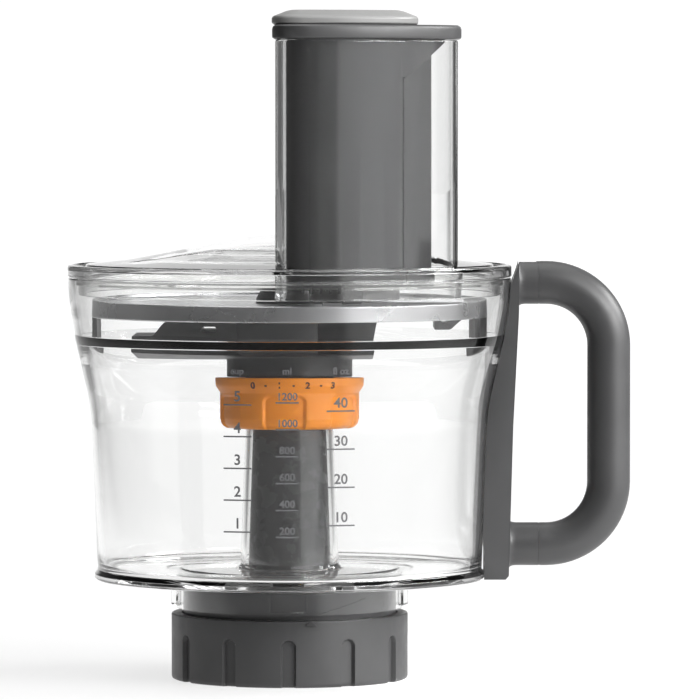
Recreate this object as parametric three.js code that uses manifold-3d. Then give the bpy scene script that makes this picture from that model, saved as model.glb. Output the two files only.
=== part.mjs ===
// Food-processor attachment for a stand mixer: a locking base with a planetary gearbox, a clear
// bowl with a loop handle, an adjustable slicing disc on a drive shaft, and a clear lid whose
// feed tube holds a large pusher and a small pusher.
// Millimetres, +Z up. The origin is the centre of the input dog's flat end face, on the drive axis.
// The handle is on +X and the feed tube leans towards -Y, the front.

import * as THREE from 'three';
import { mergeVertices } from 'three/addons/utils/BufferGeometryUtils.js';
import Module from 'manifold-3d';

const wasm = await Module();
wasm.setup();

// ---- Driving dimensions ------------------------------------------------------------------

const GAP = 0.3;                    // clearance between neighbouring pieces
const WIDE_AROUND = 48;             // facets around the bowl, lid and seal, which turn on each other
const AROUND = 36;                  // facets around the other large round pieces
const SMALL_AROUND = 16;            // facets around a shaft, bush or screw

const FOOT_Z = -3;                  // underside of the base collar
const COLLAR_TOP_Z = 25.4;
const COLLAR_R = 50.9;
const COLLAR_BORE_R = 46.5;
const GRIP_SLOTS = 12;
const GRIP_SLOT_WIDTH = 6;
const GRIP_SLOT_DEPTH = 1.8;
const GRIP_SLOT_TOP_Z = 17;

const HOUSING_R = 45.9;
const HOUSING_FLOOR_Z = 9;
const HOUSING_TOP_Z = 37;
const HOUSING_BORE_R = 40.5;
const COVER_SEAT_R = 42.4;
const COVER_SEAT_Z = 33.7;
const WEB = 3;                      // thickness of the housing's floor

const GEAR_MODULE = 2;
const SUN_TEETH = 12;
const PLANET_TEETH = 12;
const RING_TEETH = 36;              // sun + 2 planets, so the train meshes
const PLANETS = 3;
const PRESSURE_ANGLE = THREE.MathUtils.degToRad(25);
const TOOTH_THINNING = 0.14;        // taken off each flank for running clearance
const GEAR_Z = 12.8;
const GEAR_WIDTH = 9;
const PLANET_ORBIT_R = GEAR_MODULE * (SUN_TEETH + PLANET_TEETH) / 2;

const BOWL_FLOOR_Z = 40;
const BOWL_FLOOR = 3;
const BOWL_TOP_Z = 169.7;
const BOWL_WALL = 2.7;
const BOWL_FOOT_R = 84;
const BOWL_RIM_R = 95.2;
const TUBE_WALL = 2;                // wall of the bowl's centre tube
const TUBE_TOP_Z = 108.5;

const SHAFT_FOOT_R = 17.95;
const SHAFT_SHOULDER_Z = 109;
const SHAFT_TAPER = 0.0372;         // radius lost for each millimetre of height
const HEX_R = 8.5;                  // corner radius of the driving hexagons

const DIAL_Z = 106.3;
const DIAL_TOP_Z = 130;
const DIAL_R = 29.9;
const DIAL_LIP_R = 32;
const DIAL_FLUTES = 12;
const HUB_R = 27;
const HUB_TOP_Z = 152.7;
const ARM_BOTTOM_Z = 143.6;         // underside of the hub's swept arm
const STEM_R = 8;                   // the hub's stem through the disc, under its knob
const KNOB_TOP_Z = 168.3;
const DISC_R = 85;
const DISC_RIM_Z = 153.1;
const DISC_PLATE_Z = 155.8;
const DISC_PLATE_TOP_Z = 157.8;
const DISC_TOP_Z = 159.8;

const LID_RIM_R = 95.5;
const LID_RIM_Z = 170;
const LID_RIM_TOP_Z = 175.2;
const LID_PLUG_R = 91;
const LID_PLUG_Z = 164.8;
const LID_WALL = 2.4;
const LID_CROWN_Z = 182.3;
const LID_CHANNEL_TOP_Z = 187;
const TAB_END_X = 105.6;            // tip of the lid's locking tab, inside the handle's head
const FEED_TOP_Z = 271.2;
const FEED_SKIRT_Z = 162.2;

// Outlines of the feed tube and of what stands in it: bounded left and right by X, behind by Y
// and in front by an arc about Z.
const FEED = { left: -5.4, right: 71.8, back: -12, frontR: 86, corner: 15 };
const PUSHER = { left: -1.3, right: 59.8, back: -17, frontR: 82.4, corner: 13 };
const FLANGE = { left: -6.6, right: 73.2, back: -11, frontR: 87.4, corner: 14 };
const CUP = { left: 9, right: 46, back: -26, frontR: 72, corner: 11 };
const CAP = { left: -6.8, right: 54.8, back: -14, frontR: 80, corner: 12 };

const PUSHER_BOTTOM_Z = 160.4;
const PUSHER_WALL = 2.6;
const FLANGE_Z = 271.5;
const FLANGE_TOP_Z = 277.4;
const CAP_TOP_Z = 283.7;

const HANDLE_R = 9.25;
const HANDLE_X = 137.4;             // centreline of the vertical grip
const HANDLE_BEND_R = 27;
const HANDLE_TOP_Z = 167.4;         // centreline of the top leg
const HANDLE_BOTTOM_Z = 54.7;       // centreline of the bottom leg
const HANDLE_ROOT_X = 107;          // where the grip halves meet the spine's stubs
const SPINE_HALF_WIDTH = 11;
const SPINE_FOOT_Z = 40;
const SPINE_TOP_Z = 167.8;

const ROD_TOP = new THREE.Vector3(96.9, 0, 167.6);
const ROD_FOOT = new THREE.Vector3(90.0, 0, 62);
const ROD_R = 1.3;
const SPRING_COIL_R = 2.2;
const SPRING_WIRE_R = 0.45;
const SPRING_TURNS = 4;
const SPRING_LENGTH = 14;

// ---- Materials ---------------------------------------------------------------------------

const finish = (color, roughness, metalness = 0) =>
  new THREE.MeshStandardMaterial({ color, roughness, metalness });
const clearPlastic = () => new THREE.MeshStandardMaterial({
  color: 0xf2f5f6, roughness: 0.08, metalness: 0, transparent: true, opacity: 0.35,
});
const darkPlastic = () => finish(0x55565a, 0.5);
const greyPlastic = () => finish(0xc4c4c2, 0.45);
const orangePlastic = () => finish(0xc47828, 0.45);
const gearPlastic = () => finish(0xe6e2d6, 0.5);
const steel = () => finish(0xc8cacc, 0.3, 1);
const bronze = () => finish(0xb08d57, 0.4, 1);
const rubber = () => finish(0x3a3a3c, 0.85);

// ---- Solids ------------------------------------------------------------------------------

// Six times the volume inside a list of triangles; negative when its faces point inwards.
function signedVolume(points, triangles) {
  const at = (i) => new THREE.Vector3().fromArray(points, i * 3);
  let sum = 0;
  for (let i = 0; i < triangles.length; i += 3) {
    const [a, b, c] = [at(triangles[i]), at(triangles[i + 1]), at(triangles[i + 2])];
    sum += a.dot(b.cross(c));
  }
  return sum;
}

// A closed three.js geometry as a manifold solid, turned outwards and free of empty triangles.
function solid(geometry) {
  const bare = geometry.clone();
  bare.deleteAttribute('normal');
  bare.deleteAttribute('uv');
  const merged = mergeVertices(bare, 1e-4);
  const vertProperties = new Float32Array(merged.attributes.position.array);
  const index = merged.index.array;
  const triangles = [];
  for (let i = 0; i < index.length; i += 3) {
    const [a, b, c] = [index[i], index[i + 1], index[i + 2]];
    if (a !== b && b !== c && c !== a) triangles.push(a, b, c);
  }
  if (signedVolume(vertProperties, triangles) < 0) triangles.reverse();
  const triVerts = new Uint32Array(triangles);
  return new wasm.Manifold(new wasm.Mesh({ numProp: 3, vertProperties, triVerts }));
}

// A named mesh made from a solid.
function piece(name, body, material) {
  const { vertProperties, triVerts } = body.getMesh();
  const geometry = new THREE.BufferGeometry();
  geometry.setAttribute('position', new THREE.BufferAttribute(vertProperties, 3));
  geometry.setIndex(new THREE.BufferAttribute(triVerts, 1));
  geometry.computeVertexNormals();
  const mesh = new THREE.Mesh(geometry, material);
  mesh.name = name;
  return mesh;
}

// A solid of revolution about Z from [radius, height] pairs that close on themselves or the axis.
function turned(profile, around = AROUND) {
  const points = profile.map(([r, z]) => new THREE.Vector2(r, z));
  if (profile[0][0] > 0) points.push(points[0].clone());
  return solid(new THREE.LatheGeometry(points, around).rotateX(Math.PI / 2));
}

// A flat-ended ring or, without an inner radius, a disc.
function ring(outer, inner, bottom, top, around = AROUND) {
  return turned([[inner, bottom], [outer, bottom], [outer, top], [inner, top]], around);
}

const rod = (radius, bottom, top, around = SMALL_AROUND) =>
  solid(new THREE.CylinderGeometry(radius, radius, top - bottom, around)
    .rotateX(Math.PI / 2).translate(0, 0, (bottom + top) / 2));

function block(x0, x1, y0, y1, z0, z1) {
  return solid(new THREE.BoxGeometry(x1 - x0, y1 - y0, z1 - z0)
    .translate((x0 + x1) / 2, (y0 + y1) / 2, (z0 + z1) / 2));
}

// A flat outline raised from one height to another.
function raised(shape, bottom, top, curveSegments = 5) {
  const options = { depth: top - bottom, bevelEnabled: false, curveSegments };
  return solid(new THREE.ExtrudeGeometry(shape, options).translate(0, 0, bottom));
}

// An outline in the X-Z plane given thickness along Y.
function sideways(outline, y0, y1) {
  const shape = new THREE.Shape(outline.map(([x, z]) => new THREE.Vector2(x, z)));
  const options = { depth: y1 - y0, bevelEnabled: false };
  return solid(new THREE.ExtrudeGeometry(shape, options).rotateX(Math.PI / 2).translate(0, y1, 0));
}

// Copies of a solid spaced evenly about Z, joined.
function aroundAxis(count, make, first = 0) {
  const copies = [];
  for (let i = 0; i < count; i += 1) copies.push(make().rotate([0, 0, first + i * 360 / count]));
  return copies.reduce((all, copy) => all.add(copy));
}

// ---- Gears -------------------------------------------------------------------------------

const involute = (angle) => Math.tan(angle) - angle;

// The outline of a toothed wheel whose first tooth is centred at the angle `first`. `extra` is
// added to each flank; `tip` and `root` are the heights above and below the pitch circle.
function toothedOutline(teeth, tip, root, extra, first) {
  const pitchR = GEAR_MODULE * teeth / 2;
  const baseR = pitchR * Math.cos(PRESSURE_ANGLE);
  const halfTooth = Math.PI / (2 * teeth) + extra / pitchR + involute(PRESSURE_ANGLE);
  const halfAngle = (r) => halfTooth - involute(Math.acos(Math.min(1, baseR / r)));
  const flank = [pitchR - root, pitchR, pitchR + tip];
  const points = [];
  for (let tooth = 0; tooth < teeth; tooth += 1) {
    const centre = first + tooth * 2 * Math.PI / teeth;
    const rising = flank.map((r) => [r, centre - halfAngle(Math.max(r, baseR))]);
    const falling = [...flank].reverse().map((r) => [r, centre + halfAngle(Math.max(r, baseR))]);
    for (const [r, a] of [...rising, ...falling]) {
      points.push(new THREE.Vector2(r * Math.cos(a), r * Math.sin(a)));
    }
  }
  return points;
}

const TOOTH_TIP = 0.9 * GEAR_MODULE;
const TOOTH_ROOT = 1.15 * GEAR_MODULE;

// A wheel with outside teeth and a round bore, centred on Z.
function gearWheel(teeth, boreR, first) {
  const shape = new THREE.Shape(toothedOutline(teeth, TOOTH_TIP, TOOTH_ROOT, -TOOTH_THINNING, first));
  const bore = rod(boreR, GEAR_Z - 1, GEAR_Z + GEAR_WIDTH + 1);
  return raised(shape, GEAR_Z, GEAR_Z + GEAR_WIDTH).subtract(bore);
}

// A hexagonal bar with flats across X.
const hexBar = (radius, bottom, top) => rod(radius, bottom, top, 6);

// ---- Base: everything that stays still on the mixer's outlet --------------------------------

function baseCollar() {
  const sleeve = turned([
    [COLLAR_BORE_R, FOOT_Z], [COLLAR_R - 1.2, FOOT_Z], [COLLAR_R, FOOT_Z + 1.2],
    [COLLAR_R, COLLAR_TOP_Z - 0.6], [COLLAR_R - 0.6, COLLAR_TOP_Z], [COLLAR_BORE_R, COLLAR_TOP_Z],
  ]);
  const seat = ring(COLLAR_BORE_R + 1, 39, HOUSING_FLOOR_Z - 3.3, HOUSING_FLOOR_Z - GAP);
  const slot = () => {
    const outer = COLLAR_R + 1;
    const inner = COLLAR_R - GRIP_SLOT_DEPTH;
    const half = GRIP_SLOT_WIDTH / 2;
    const square = block(inner, outer, -half, half, FOOT_Z - 1, GRIP_SLOT_TOP_Z - half);
    const round = solid(new THREE.CylinderGeometry(half, half, outer - inner, 8)
      .rotateZ(Math.PI / 2).translate((inner + outer) / 2, 0, GRIP_SLOT_TOP_Z - half));
    return square.add(round);
  };
  const lug = () => block(43, COLLAR_BORE_R + 1, -9, 9, FOOT_Z + 1, FOOT_Z + 4);
  const arrow = block(-2.5, 2.5, -COLLAR_R - 0.5, -COLLAR_BORE_R - 1, COLLAR_TOP_Z - 2.4, COLLAR_TOP_Z + 0.5);
  return sleeve.add(seat).add(aroundAxis(3, lug, 30)).add(arrow)
    .subtract(aroundAxis(GRIP_SLOTS, slot));
}

function gearboxHousing() {
  const floorTop = HOUSING_FLOOR_Z + WEB;
  const cup = turned([
    [9.3, HOUSING_FLOOR_Z], [HOUSING_R - 0.8, HOUSING_FLOOR_Z], [HOUSING_R, HOUSING_FLOOR_Z + 0.8],
    [HOUSING_R, HOUSING_TOP_Z - 0.8], [HOUSING_R - 0.8, HOUSING_TOP_Z], [COVER_SEAT_R, HOUSING_TOP_Z],
    [COVER_SEAT_R, COVER_SEAT_Z], [HOUSING_BORE_R, COVER_SEAT_Z], [HOUSING_BORE_R, floorTop],
    [9.3, floorTop],
  ]);
  const boss = () => block(SCREW_ORBIT_R - 2.8, HOUSING_BORE_R + 1, -2.8, 2.8, 25, COVER_SEAT_Z)
    .subtract(rod(1.5, 26, COVER_SEAT_Z + 1, 10).translate([SCREW_ORBIT_R, 0, 0]));
  return cup.add(aroundAxis(PLANETS, boss, 60));
}

const SCREW_ORBIT_R = 37.3;
const COVER_Z = COVER_SEAT_Z + GAP;
const COVER_TOP_Z = COVER_Z + 2.4;
const OUTPUT_BUSH_R = 9.5;

function gearboxCover() {
  const plate = ring(COVER_SEAT_R - GAP, OUTPUT_BUSH_R + GAP, COVER_Z, COVER_TOP_Z);
  const hole = () => rod(1.5, COVER_Z - 1, COVER_TOP_Z + 1, 10).translate([SCREW_ORBIT_R, 0, 0]);
  return plate.subtract(aroundAxis(PLANETS, hole, 60));
}

// A pan-head screw standing on Z with the underside of its head at `seat`.
function screw(shankR, headR, length, seat) {
  const head = rod(headR, seat, seat + 1.5, 12);
  const slot = block(-0.35, 0.35, -headR - 1, headR + 1, seat + 0.9, seat + 2);
  return head.add(rod(shankR, seat - length, seat + 0.5, 10)).subtract(slot);
}

function ringGear() {
  const shape = new THREE.Shape().absarc(0, 0, HOUSING_BORE_R - GAP, 0, 2 * Math.PI);
  const space = toothedOutline(RING_TEETH, TOOTH_ROOT, TOOTH_TIP, TOOTH_THINNING, Math.PI / RING_TEETH);
  shape.holes.push(new THREE.Path(space));
  return raised(shape, GEAR_Z - 0.4, GEAR_Z + GEAR_WIDTH + 0.4, 24);
}

// ---- Gear train ------------------------------------------------------------------------------

const DOG_TOP_Z = HOUSING_FLOOR_Z - 0.4;
const INPUT_SHAFT_R = 5;
const INPUT_TOP_Z = GEAR_Z + GEAR_WIDTH;

function inputDog() {
  const dog = hexBar(6.9, 0, DOG_TOP_Z);
  return dog.add(rod(INPUT_SHAFT_R, DOG_TOP_Z - 1, INPUT_TOP_Z - 0.2));
}

const CARRIER_Z = GEAR_Z + GEAR_WIDTH + 0.8;
const CARRIER_TOP_Z = CARRIER_Z + 3.2;
const SPINDLE_R = 6;
const PIN_R = 2.8;

function planetCarrier() {
  const plate = ring(30.5, SPINDLE_R + GAP, CARRIER_Z, CARRIER_TOP_Z);
  const hole = () => rod(PIN_R + GAP, CARRIER_Z - 1, CARRIER_TOP_Z + 1).translate([PLANET_ORBIT_R, 0, 0]);
  return plate.subtract(aroundAxis(PLANETS, hole));
}

function outputSpindle() {
  const shaft = rod(SPINDLE_R, CARRIER_Z, 39);
  return shaft.add(hexBar(HEX_R, 38.8, 58));
}

// ---- Bowl --------------------------------------------------------------------------------

// The bowl's outside, from its foot to its rim: a gentle taper, then a flare above the dial.
const BOWL_OUTSIDE = [
  [BOWL_FOOT_R - 1.3, BOWL_FLOOR_Z], [BOWL_FOOT_R, BOWL_FLOOR_Z + 1.3],
  [BOWL_FOOT_R - 1.2, BOWL_FLOOR_Z + 4], [83, 52], [85.8, 117], [89.9, 132], [92.9, 148],
  [BOWL_RIM_R, 163], [BOWL_RIM_R, BOWL_TOP_Z],
];

// The sloping ledge inside the bowl, just below the disc, with the thicker wall under it.
const BOWL_LEDGE = [[86, 132], [86.4, 142], [89.4, 145]];

const tubeRadius = (z) => 20.9 - SHAFT_TAPER * (z - 52);
const shaftRadius = (z) => SHAFT_FOOT_R - SHAFT_TAPER * (z - BOWL_FLOOR_Z);

function bowl() {
  const floorTop = BOWL_FLOOR_Z + BOWL_FLOOR;
  const wall = BOWL_OUTSIDE.filter(([, z]) => z > 50).map(([r, z]) => [r - BOWL_WALL, z]);
  const inside = [...wall.filter(([, z]) => z < 120), ...BOWL_LEDGE, ...wall.filter(([, z]) => z > 150)];
  const tube = [
    [tubeRadius(TUBE_TOP_Z), TUBE_TOP_Z], [tubeRadius(TUBE_TOP_Z) - TUBE_WALL, TUBE_TOP_Z],
    [tubeRadius(BOWL_FLOOR_Z) - TUBE_WALL, BOWL_FLOOR_Z],
  ];
  return turned([
    ...BOWL_OUTSIDE, ...inside.reverse(), [80, floorTop], [23, floorTop],
    [tubeRadius(floorTop + 3), floorTop + 3], ...tube,
  ], WIDE_AROUND);
}

// The clear bayonet ring under the bowl, whose lugs lock over the gearbox housing.
function bowlNeck() {
  const top = BOWL_FLOOR_Z - GAP;
  const lug = () => block(48, 51.2, -7, 7, COLLAR_TOP_Z + 0.8, top);
  return ring(48.6, HOUSING_R + 0.5, 27.5, top).add(aroundAxis(4, lug));
}

// ---- Drive shaft, thickness dial and slicing disc ------------------------------------------

function driveShaft() {
  const barrel = turned([
    [0, BOWL_FLOOR_Z], [SHAFT_FOOT_R, BOWL_FLOOR_Z], [shaftRadius(SHAFT_SHOULDER_Z), SHAFT_SHOULDER_Z],
    [0, SHAFT_SHOULDER_Z],
  ], 32);
  const drive = hexBar(HEX_R, SHAFT_SHOULDER_Z - 1, HUB_TOP_Z - 1);
  return barrel.add(drive).subtract(hexBar(HEX_R + 0.5, BOWL_FLOOR_Z - 1, 60));
}

const NECK_R = 19;
const NECK_Z = 110;
const WINDOW = { x0: 14, x1: 79, y0: -36, y1: 0 };    // opening in the disc ahead of the blade

// The disc's plastic hub: a neck inside the dial, a drum above it, a swept arm under the disc and
// a knob on top of the disc, on a stem through its middle.
function discHub() {
  const drum = turned([
    [0, NECK_Z], [NECK_R, NECK_Z], [NECK_R, DIAL_TOP_Z + GAP], [HUB_R, DIAL_TOP_Z + GAP],
    [HUB_R, HUB_TOP_Z], [0, HUB_TOP_Z],
  ], 36);
  const arm = sideways([
    [-67, ARM_BOTTOM_Z], [36, ARM_BOTTOM_Z], [38, HUB_TOP_Z], [-54, HUB_TOP_Z],
    [-60, ARM_BOTTOM_Z + 4], [-67, ARM_BOTTOM_Z + 4],
  ], -20, 20);
  const rampRoom = block(WINDOW.x0 - 2, WINDOW.x1, WINDOW.y0 - 1, WINDOW.y1 + 2,
    ARM_BOTTOM_Z + 0.4, HUB_TOP_Z + 1);
  const socket = hexBar(HEX_R + GAP, NECK_Z - 1, HUB_TOP_Z - 0.6);
  const foot = DISC_PLATE_TOP_Z + GAP;
  const knob = turned([
    [0, foot], [14.3, foot], [14.1, foot + 2.5], [12.9, foot + 3.8], [11, KNOB_TOP_Z], [0, KNOB_TOP_Z],
  ], 24);
  return drum.add(arm).subtract(rampRoom).subtract(socket)
    .add(rod(STEM_R, HUB_TOP_Z - 0.3, foot + 0.5)).add(knob);
}

function thicknessDial() {
  const body = turned([
    [NECK_R + GAP, NECK_Z + 1], [22, NECK_Z + 1], [22, DIAL_Z], [DIAL_R - 3.5, DIAL_Z],
    [DIAL_R - 1, DIAL_Z + 1.2], [DIAL_R, DIAL_Z + 4], [DIAL_R, DIAL_Z + 16], [DIAL_LIP_R, DIAL_Z + 18.5],
    [DIAL_LIP_R, DIAL_TOP_Z - 1], [DIAL_LIP_R - 1, DIAL_TOP_Z], [NECK_R + GAP, DIAL_TOP_Z],
  ], 36);
  const flute = () => rod(3.2, DIAL_Z - 1, DIAL_Z + 15, 6).translate([DIAL_R + 2, 0, 0]);
  return body.subtract(aroundAxis(DIAL_FLUTES, flute, 15));
}

function slicingDisc() {
  const inner = DISC_R - 1.6;
  const plate = turned([
    [0, DISC_PLATE_Z], [inner + 0.2, DISC_PLATE_Z], [inner + 0.2, DISC_RIM_Z], [DISC_R, DISC_RIM_Z],
    [DISC_R, DISC_TOP_Z], [inner, DISC_TOP_Z], [inner, DISC_PLATE_TOP_Z], [0, DISC_PLATE_TOP_Z],
  ]);
  const boss = ring(HUB_R, 0, HUB_TOP_Z + GAP, DISC_PLATE_Z + 0.5, 36);
  const window = block(WINDOW.x0, WINDOW.x1 - 3, WINDOW.y0, WINDOW.y1, DISC_RIM_Z - 3, DISC_TOP_Z + 1);
  const middle = rod(STEM_R + GAP, HUB_TOP_Z, DISC_TOP_Z);
  return plate.add(boss).subtract(window).subtract(middle);
}

function slicingBlade() {
  const strip = block(WINDOW.x0 + 1, WINDOW.x1 - 4, WINDOW.y1 - 3, WINDOW.y1 + 10,
    DISC_PLATE_TOP_Z + GAP, DISC_PLATE_TOP_Z + 1.3);
  const bevel = block(WINDOW.x0, WINDOW.x1, -6, 0, -2, 0).rotate([-25, 0, 0])
    .translate([0, WINDOW.y1 - 0.5, DISC_PLATE_TOP_Z + GAP]);
  return strip.subtract(bevel);
}

const RAMP_TRAVEL = 4;

// The sinking table ahead of the blade. Its outer end hangs down as a guide foot.
function rampPlate() {
  const [x0, x1] = [WINDOW.x0 + 0.5, WINDOW.x1 - 3.5];
  const [y0, y1] = [WINDOW.y0 + 0.5, WINDOW.y1 - 0.5];
  const table = block(x0, x1, y0, y1, DISC_PLATE_TOP_Z - 3, DISC_PLATE_TOP_Z - 0.1);
  const top = DISC_PLATE_Z;
  const foot = sideways([
    [x1 - 14, top - 7.4], [x1 - 7, top - 7.4], [x1, top - 0.5], [x1 - 4, top], [x1 - 8.5, top - 4.4],
    [x1 - 14, top - 4.4],
  ], y0 + 6, y1 - 6);
  const stem = block(x1 - 14, x1 - 11, y0 + 6, y1 - 6, top - 5, top);
  return table.add(foot).add(stem);
}

// ---- Lid with its feed tube ----------------------------------------------------------------

// One of the outlines above, drawn smaller on every side by `inset`.
function feedOutline(outline, inset = 0) {
  const [left, right] = [outline.left + inset, outline.right - inset];
  const [back, frontR, corner] = [outline.back - inset, outline.frontR - inset, outline.corner - inset];
  const leftY = -Math.sqrt(frontR ** 2 - left ** 2);
  const rightY = -Math.sqrt(frontR ** 2 - right ** 2);
  const from = Math.atan2(rightY, right) - corner / frontR;
  const to = Math.atan2(leftY, left) + corner / frontR;
  const shape = new THREE.Shape();
  shape.moveTo(left + corner, back);
  shape.lineTo(right - corner, back);
  shape.quadraticCurveTo(right, back, right, back - corner);
  shape.lineTo(right, rightY + corner * 0.6);
  shape.quadraticCurveTo(right, rightY, frontR * Math.cos(from), frontR * Math.sin(from));
  shape.absarc(0, 0, frontR, from, to, true);
  shape.quadraticCurveTo(left, leftY, left, leftY + corner);
  shape.lineTo(left, back - corner);
  shape.quadraticCurveTo(left, back, left + corner, back);
  return shape;
}

// The raised spiral channel behind the tube; `inset` makes its hollow underside.
function lidChannel(inset) {
  const outline = [
    [-78 + 3 * inset, LID_RIM_TOP_Z - 3], [20, LID_RIM_TOP_Z - 3], [20, LID_CHANNEL_TOP_Z - inset],
    [-7, LID_CHANNEL_TOP_Z - inset], [-17, LID_CHANNEL_TOP_Z - 0.8 - inset], [-32, 183.6 - inset],
    [-45, 180.8 - inset], [-61, 177.9 - inset], [-78 + 3 * inset, 175.4 - inset],
  ];
  return sideways(outline, 6 + inset, 44 - inset);
}

function lid() {
  const shell = turned([
    [0, LID_PLUG_Z], [LID_PLUG_R, LID_PLUG_Z], [LID_PLUG_R, LID_RIM_Z], [LID_RIM_R - 0.8, LID_RIM_Z],
    [LID_RIM_R, LID_RIM_Z + 0.8], [LID_RIM_R, LID_RIM_TOP_Z - 1], [LID_RIM_R - 1, LID_RIM_TOP_Z],
    [86, LID_RIM_TOP_Z + 0.4], [68, 177.5], [52, 180.6], [44, LID_CROWN_Z], [0, LID_CROWN_Z],
  ], WIDE_AROUND);
  const hollow = turned([
    [0, LID_PLUG_Z - 1], [LID_PLUG_R - LID_WALL, LID_PLUG_Z - 1], [LID_PLUG_R - LID_WALL, 172.4],
    [68, 174.8], [52, 178.1], [43, LID_CROWN_Z - LID_WALL], [0, LID_CROWN_Z - LID_WALL],
  ], WIDE_AROUND);
  const tube = raised(feedOutline(FEED), FEED_SKIRT_Z, FEED_TOP_Z);
  const bore = raised(feedOutline(FEED, LID_WALL), FEED_SKIRT_Z - 1, FEED_TOP_Z + 1);
  const tab = block(94, TAB_END_X, -4, 4, LID_RIM_Z, LID_RIM_TOP_Z - 1.2)
    .add(block(BOWL_RIM_R + 1, TAB_END_X, -4, 4, SPINE_TOP_Z + 0.5, LID_RIM_Z + 1));
  return shell.add(lidChannel(0)).subtract(hollow).subtract(lidChannel(LID_WALL))
    .add(tube).subtract(bore).add(tab);
}

const lidSeal = () => ring(92.05, LID_PLUG_R + 0.25, LID_PLUG_Z + 1.8, LID_PLUG_Z + 4.2, WIDE_AROUND);

// ---- Pushers ---------------------------------------------------------------------------------

function mainPusher() {
  const body = raised(feedOutline(PUSHER), PUSHER_BOTTOM_Z, FLANGE_Z + 1);
  const inside = raised(feedOutline(PUSHER, PUSHER_WALL), PUSHER_BOTTOM_Z + PUSHER_WALL, FLANGE_Z);
  const flange = raised(feedOutline(FLANGE), FLANGE_Z, FLANGE_TOP_Z);
  const sleeve = raised(feedOutline(CUP, -GAP - PUSHER_WALL), PUSHER_BOTTOM_Z, FLANGE_TOP_Z);
  const well = raised(feedOutline(CUP, -GAP), PUSHER_BOTTOM_Z - 1, FLANGE_TOP_Z + 1);
  const side = PUSHER.right;
  const drain = block(side - 6, side + 1, -40, -34, PUSHER_BOTTOM_Z - 1, PUSHER_BOTTOM_Z + 8);
  const gusset = sideways([[side - 1, FLANGE_Z - 9], [side + 5.4, FLANGE_Z + 0.5],
    [side - 1, FLANGE_Z + 0.5]], -46, -30);
  return body.subtract(inside).add(flange).add(gusset).add(sleeve).subtract(well).subtract(drain);
}

function smallPusher() {
  const body = raised(feedOutline(CUP), PUSHER_BOTTOM_Z + 0.4, FLANGE_TOP_Z - 0.2);
  const inside = raised(feedOutline(CUP, 2.2), PUSHER_BOTTOM_Z + 3, FLANGE_TOP_Z + 1);
  return body.subtract(inside);
}

// The small pusher's cap: a plate with bevelled edges and a plug that fits the small pusher.
function pusherCap() {
  const levels = [
    [0, FLANGE_TOP_Z + GAP], [0, CAP_TOP_Z - 3.3], [6, CAP_TOP_Z - 0.9], [9, CAP_TOP_Z],
  ];
  const layers = [];
  for (let i = 0; i + 1 < levels.length; i += 1) {
    const [inset, bottom] = levels[i];
    layers.push(raised(feedOutline({ ...CAP, corner: CAP.corner + inset }, inset), bottom, levels[i + 1][1]));
  }
  const plug = raised(feedOutline(CUP, 2.6), FLANGE_TOP_Z - 6, FLANGE_TOP_Z + 1);
  return layers.reduce((all, layer) => all.add(layer)).add(plug);
}

// ---- Handle ----------------------------------------------------------------------------------

// The grip's centreline: out along the top leg, down the grip and back along the bottom leg.
class GripLine extends THREE.Curve {
  constructor() {
    super();
    const bendX = HANDLE_X - HANDLE_BEND_R;
    this.leg = bendX - HANDLE_ROOT_X;
    this.bend = HANDLE_BEND_R * Math.PI / 2;
    this.drop = HANDLE_TOP_Z - HANDLE_BOTTOM_Z - 2 * HANDLE_BEND_R;
    this.total = 2 * this.leg + 2 * this.bend + this.drop;
  }

  getPoint(t, target = new THREE.Vector3()) {
    const half = this.total / 2;
    const s = half - Math.abs(t * this.total - half);
    const bendX = HANDLE_X - HANDLE_BEND_R;
    const angle = THREE.MathUtils.clamp((s - this.leg) / HANDLE_BEND_R, 0, Math.PI / 2);
    const straight = Math.max(0, s - this.leg - this.bend);
    const x = bendX + Math.min(0, s - this.leg) + HANDLE_BEND_R * Math.sin(angle);
    const z = HANDLE_TOP_Z - HANDLE_BEND_R * (1 - Math.cos(angle)) - straight;
    const middle = (HANDLE_TOP_Z + HANDLE_BOTTOM_Z) / 2;
    return target.set(x, 0, t > 0.5 ? 2 * middle - z : z);
  }
}

const HANDLE_SCREWS = [[112.5, HANDLE_TOP_Z], [112.5, HANDLE_BOTTOM_Z]];
const alongY = (body) => body.rotate([-90, 0, 0]);

function gripHalf(front) {
  const shape = new THREE.Shape().absarc(0, 0, HANDLE_R, 0, 2 * Math.PI);
  const options = { steps: 32, curveSegments: 6, bevelEnabled: false, extrudePath: new GripLine() };
  const loop = solid(new THREE.ExtrudeGeometry(shape, options));
  const [near, far] = front ? [-0.15 - HANDLE_R * 2, -0.15] : [0.15, 0.15 + HANDLE_R * 2];
  const half = loop.intersect(block(0, 200, near, far, 0, 250));
  const hole = ([x, z]) => alongY(rod(1.5, -6, 20, 10)).translate([x, 0, z]);
  const counterbore = ([x, z]) => alongY(rod(3.3, 6, 20, 12)).translate([x, 0, z]);
  const holes = HANDLE_SCREWS.map((at) => hole(at).add(counterbore(at)));
  return half.subtract(holes.reduce((all, each) => all.add(each)));
}

// A line parallel to the interlock rod's axis, as a round bar between two distances from its foot.
function onRodLine(radius, from, to, around = 12) {
  const direction = ROD_TOP.clone().sub(ROD_FOOT).normalize();
  const tilt = THREE.MathUtils.radToDeg(Math.atan2(direction.x, direction.z));
  return rod(radius, from, to, around).rotate([0, tilt, 0]).translate(ROD_FOOT.toArray());
}

const ROD_LENGTH = ROD_TOP.distanceTo(ROD_FOOT);
const POCKET_R = 3.2;
const SHOULDER = 2;

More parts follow.
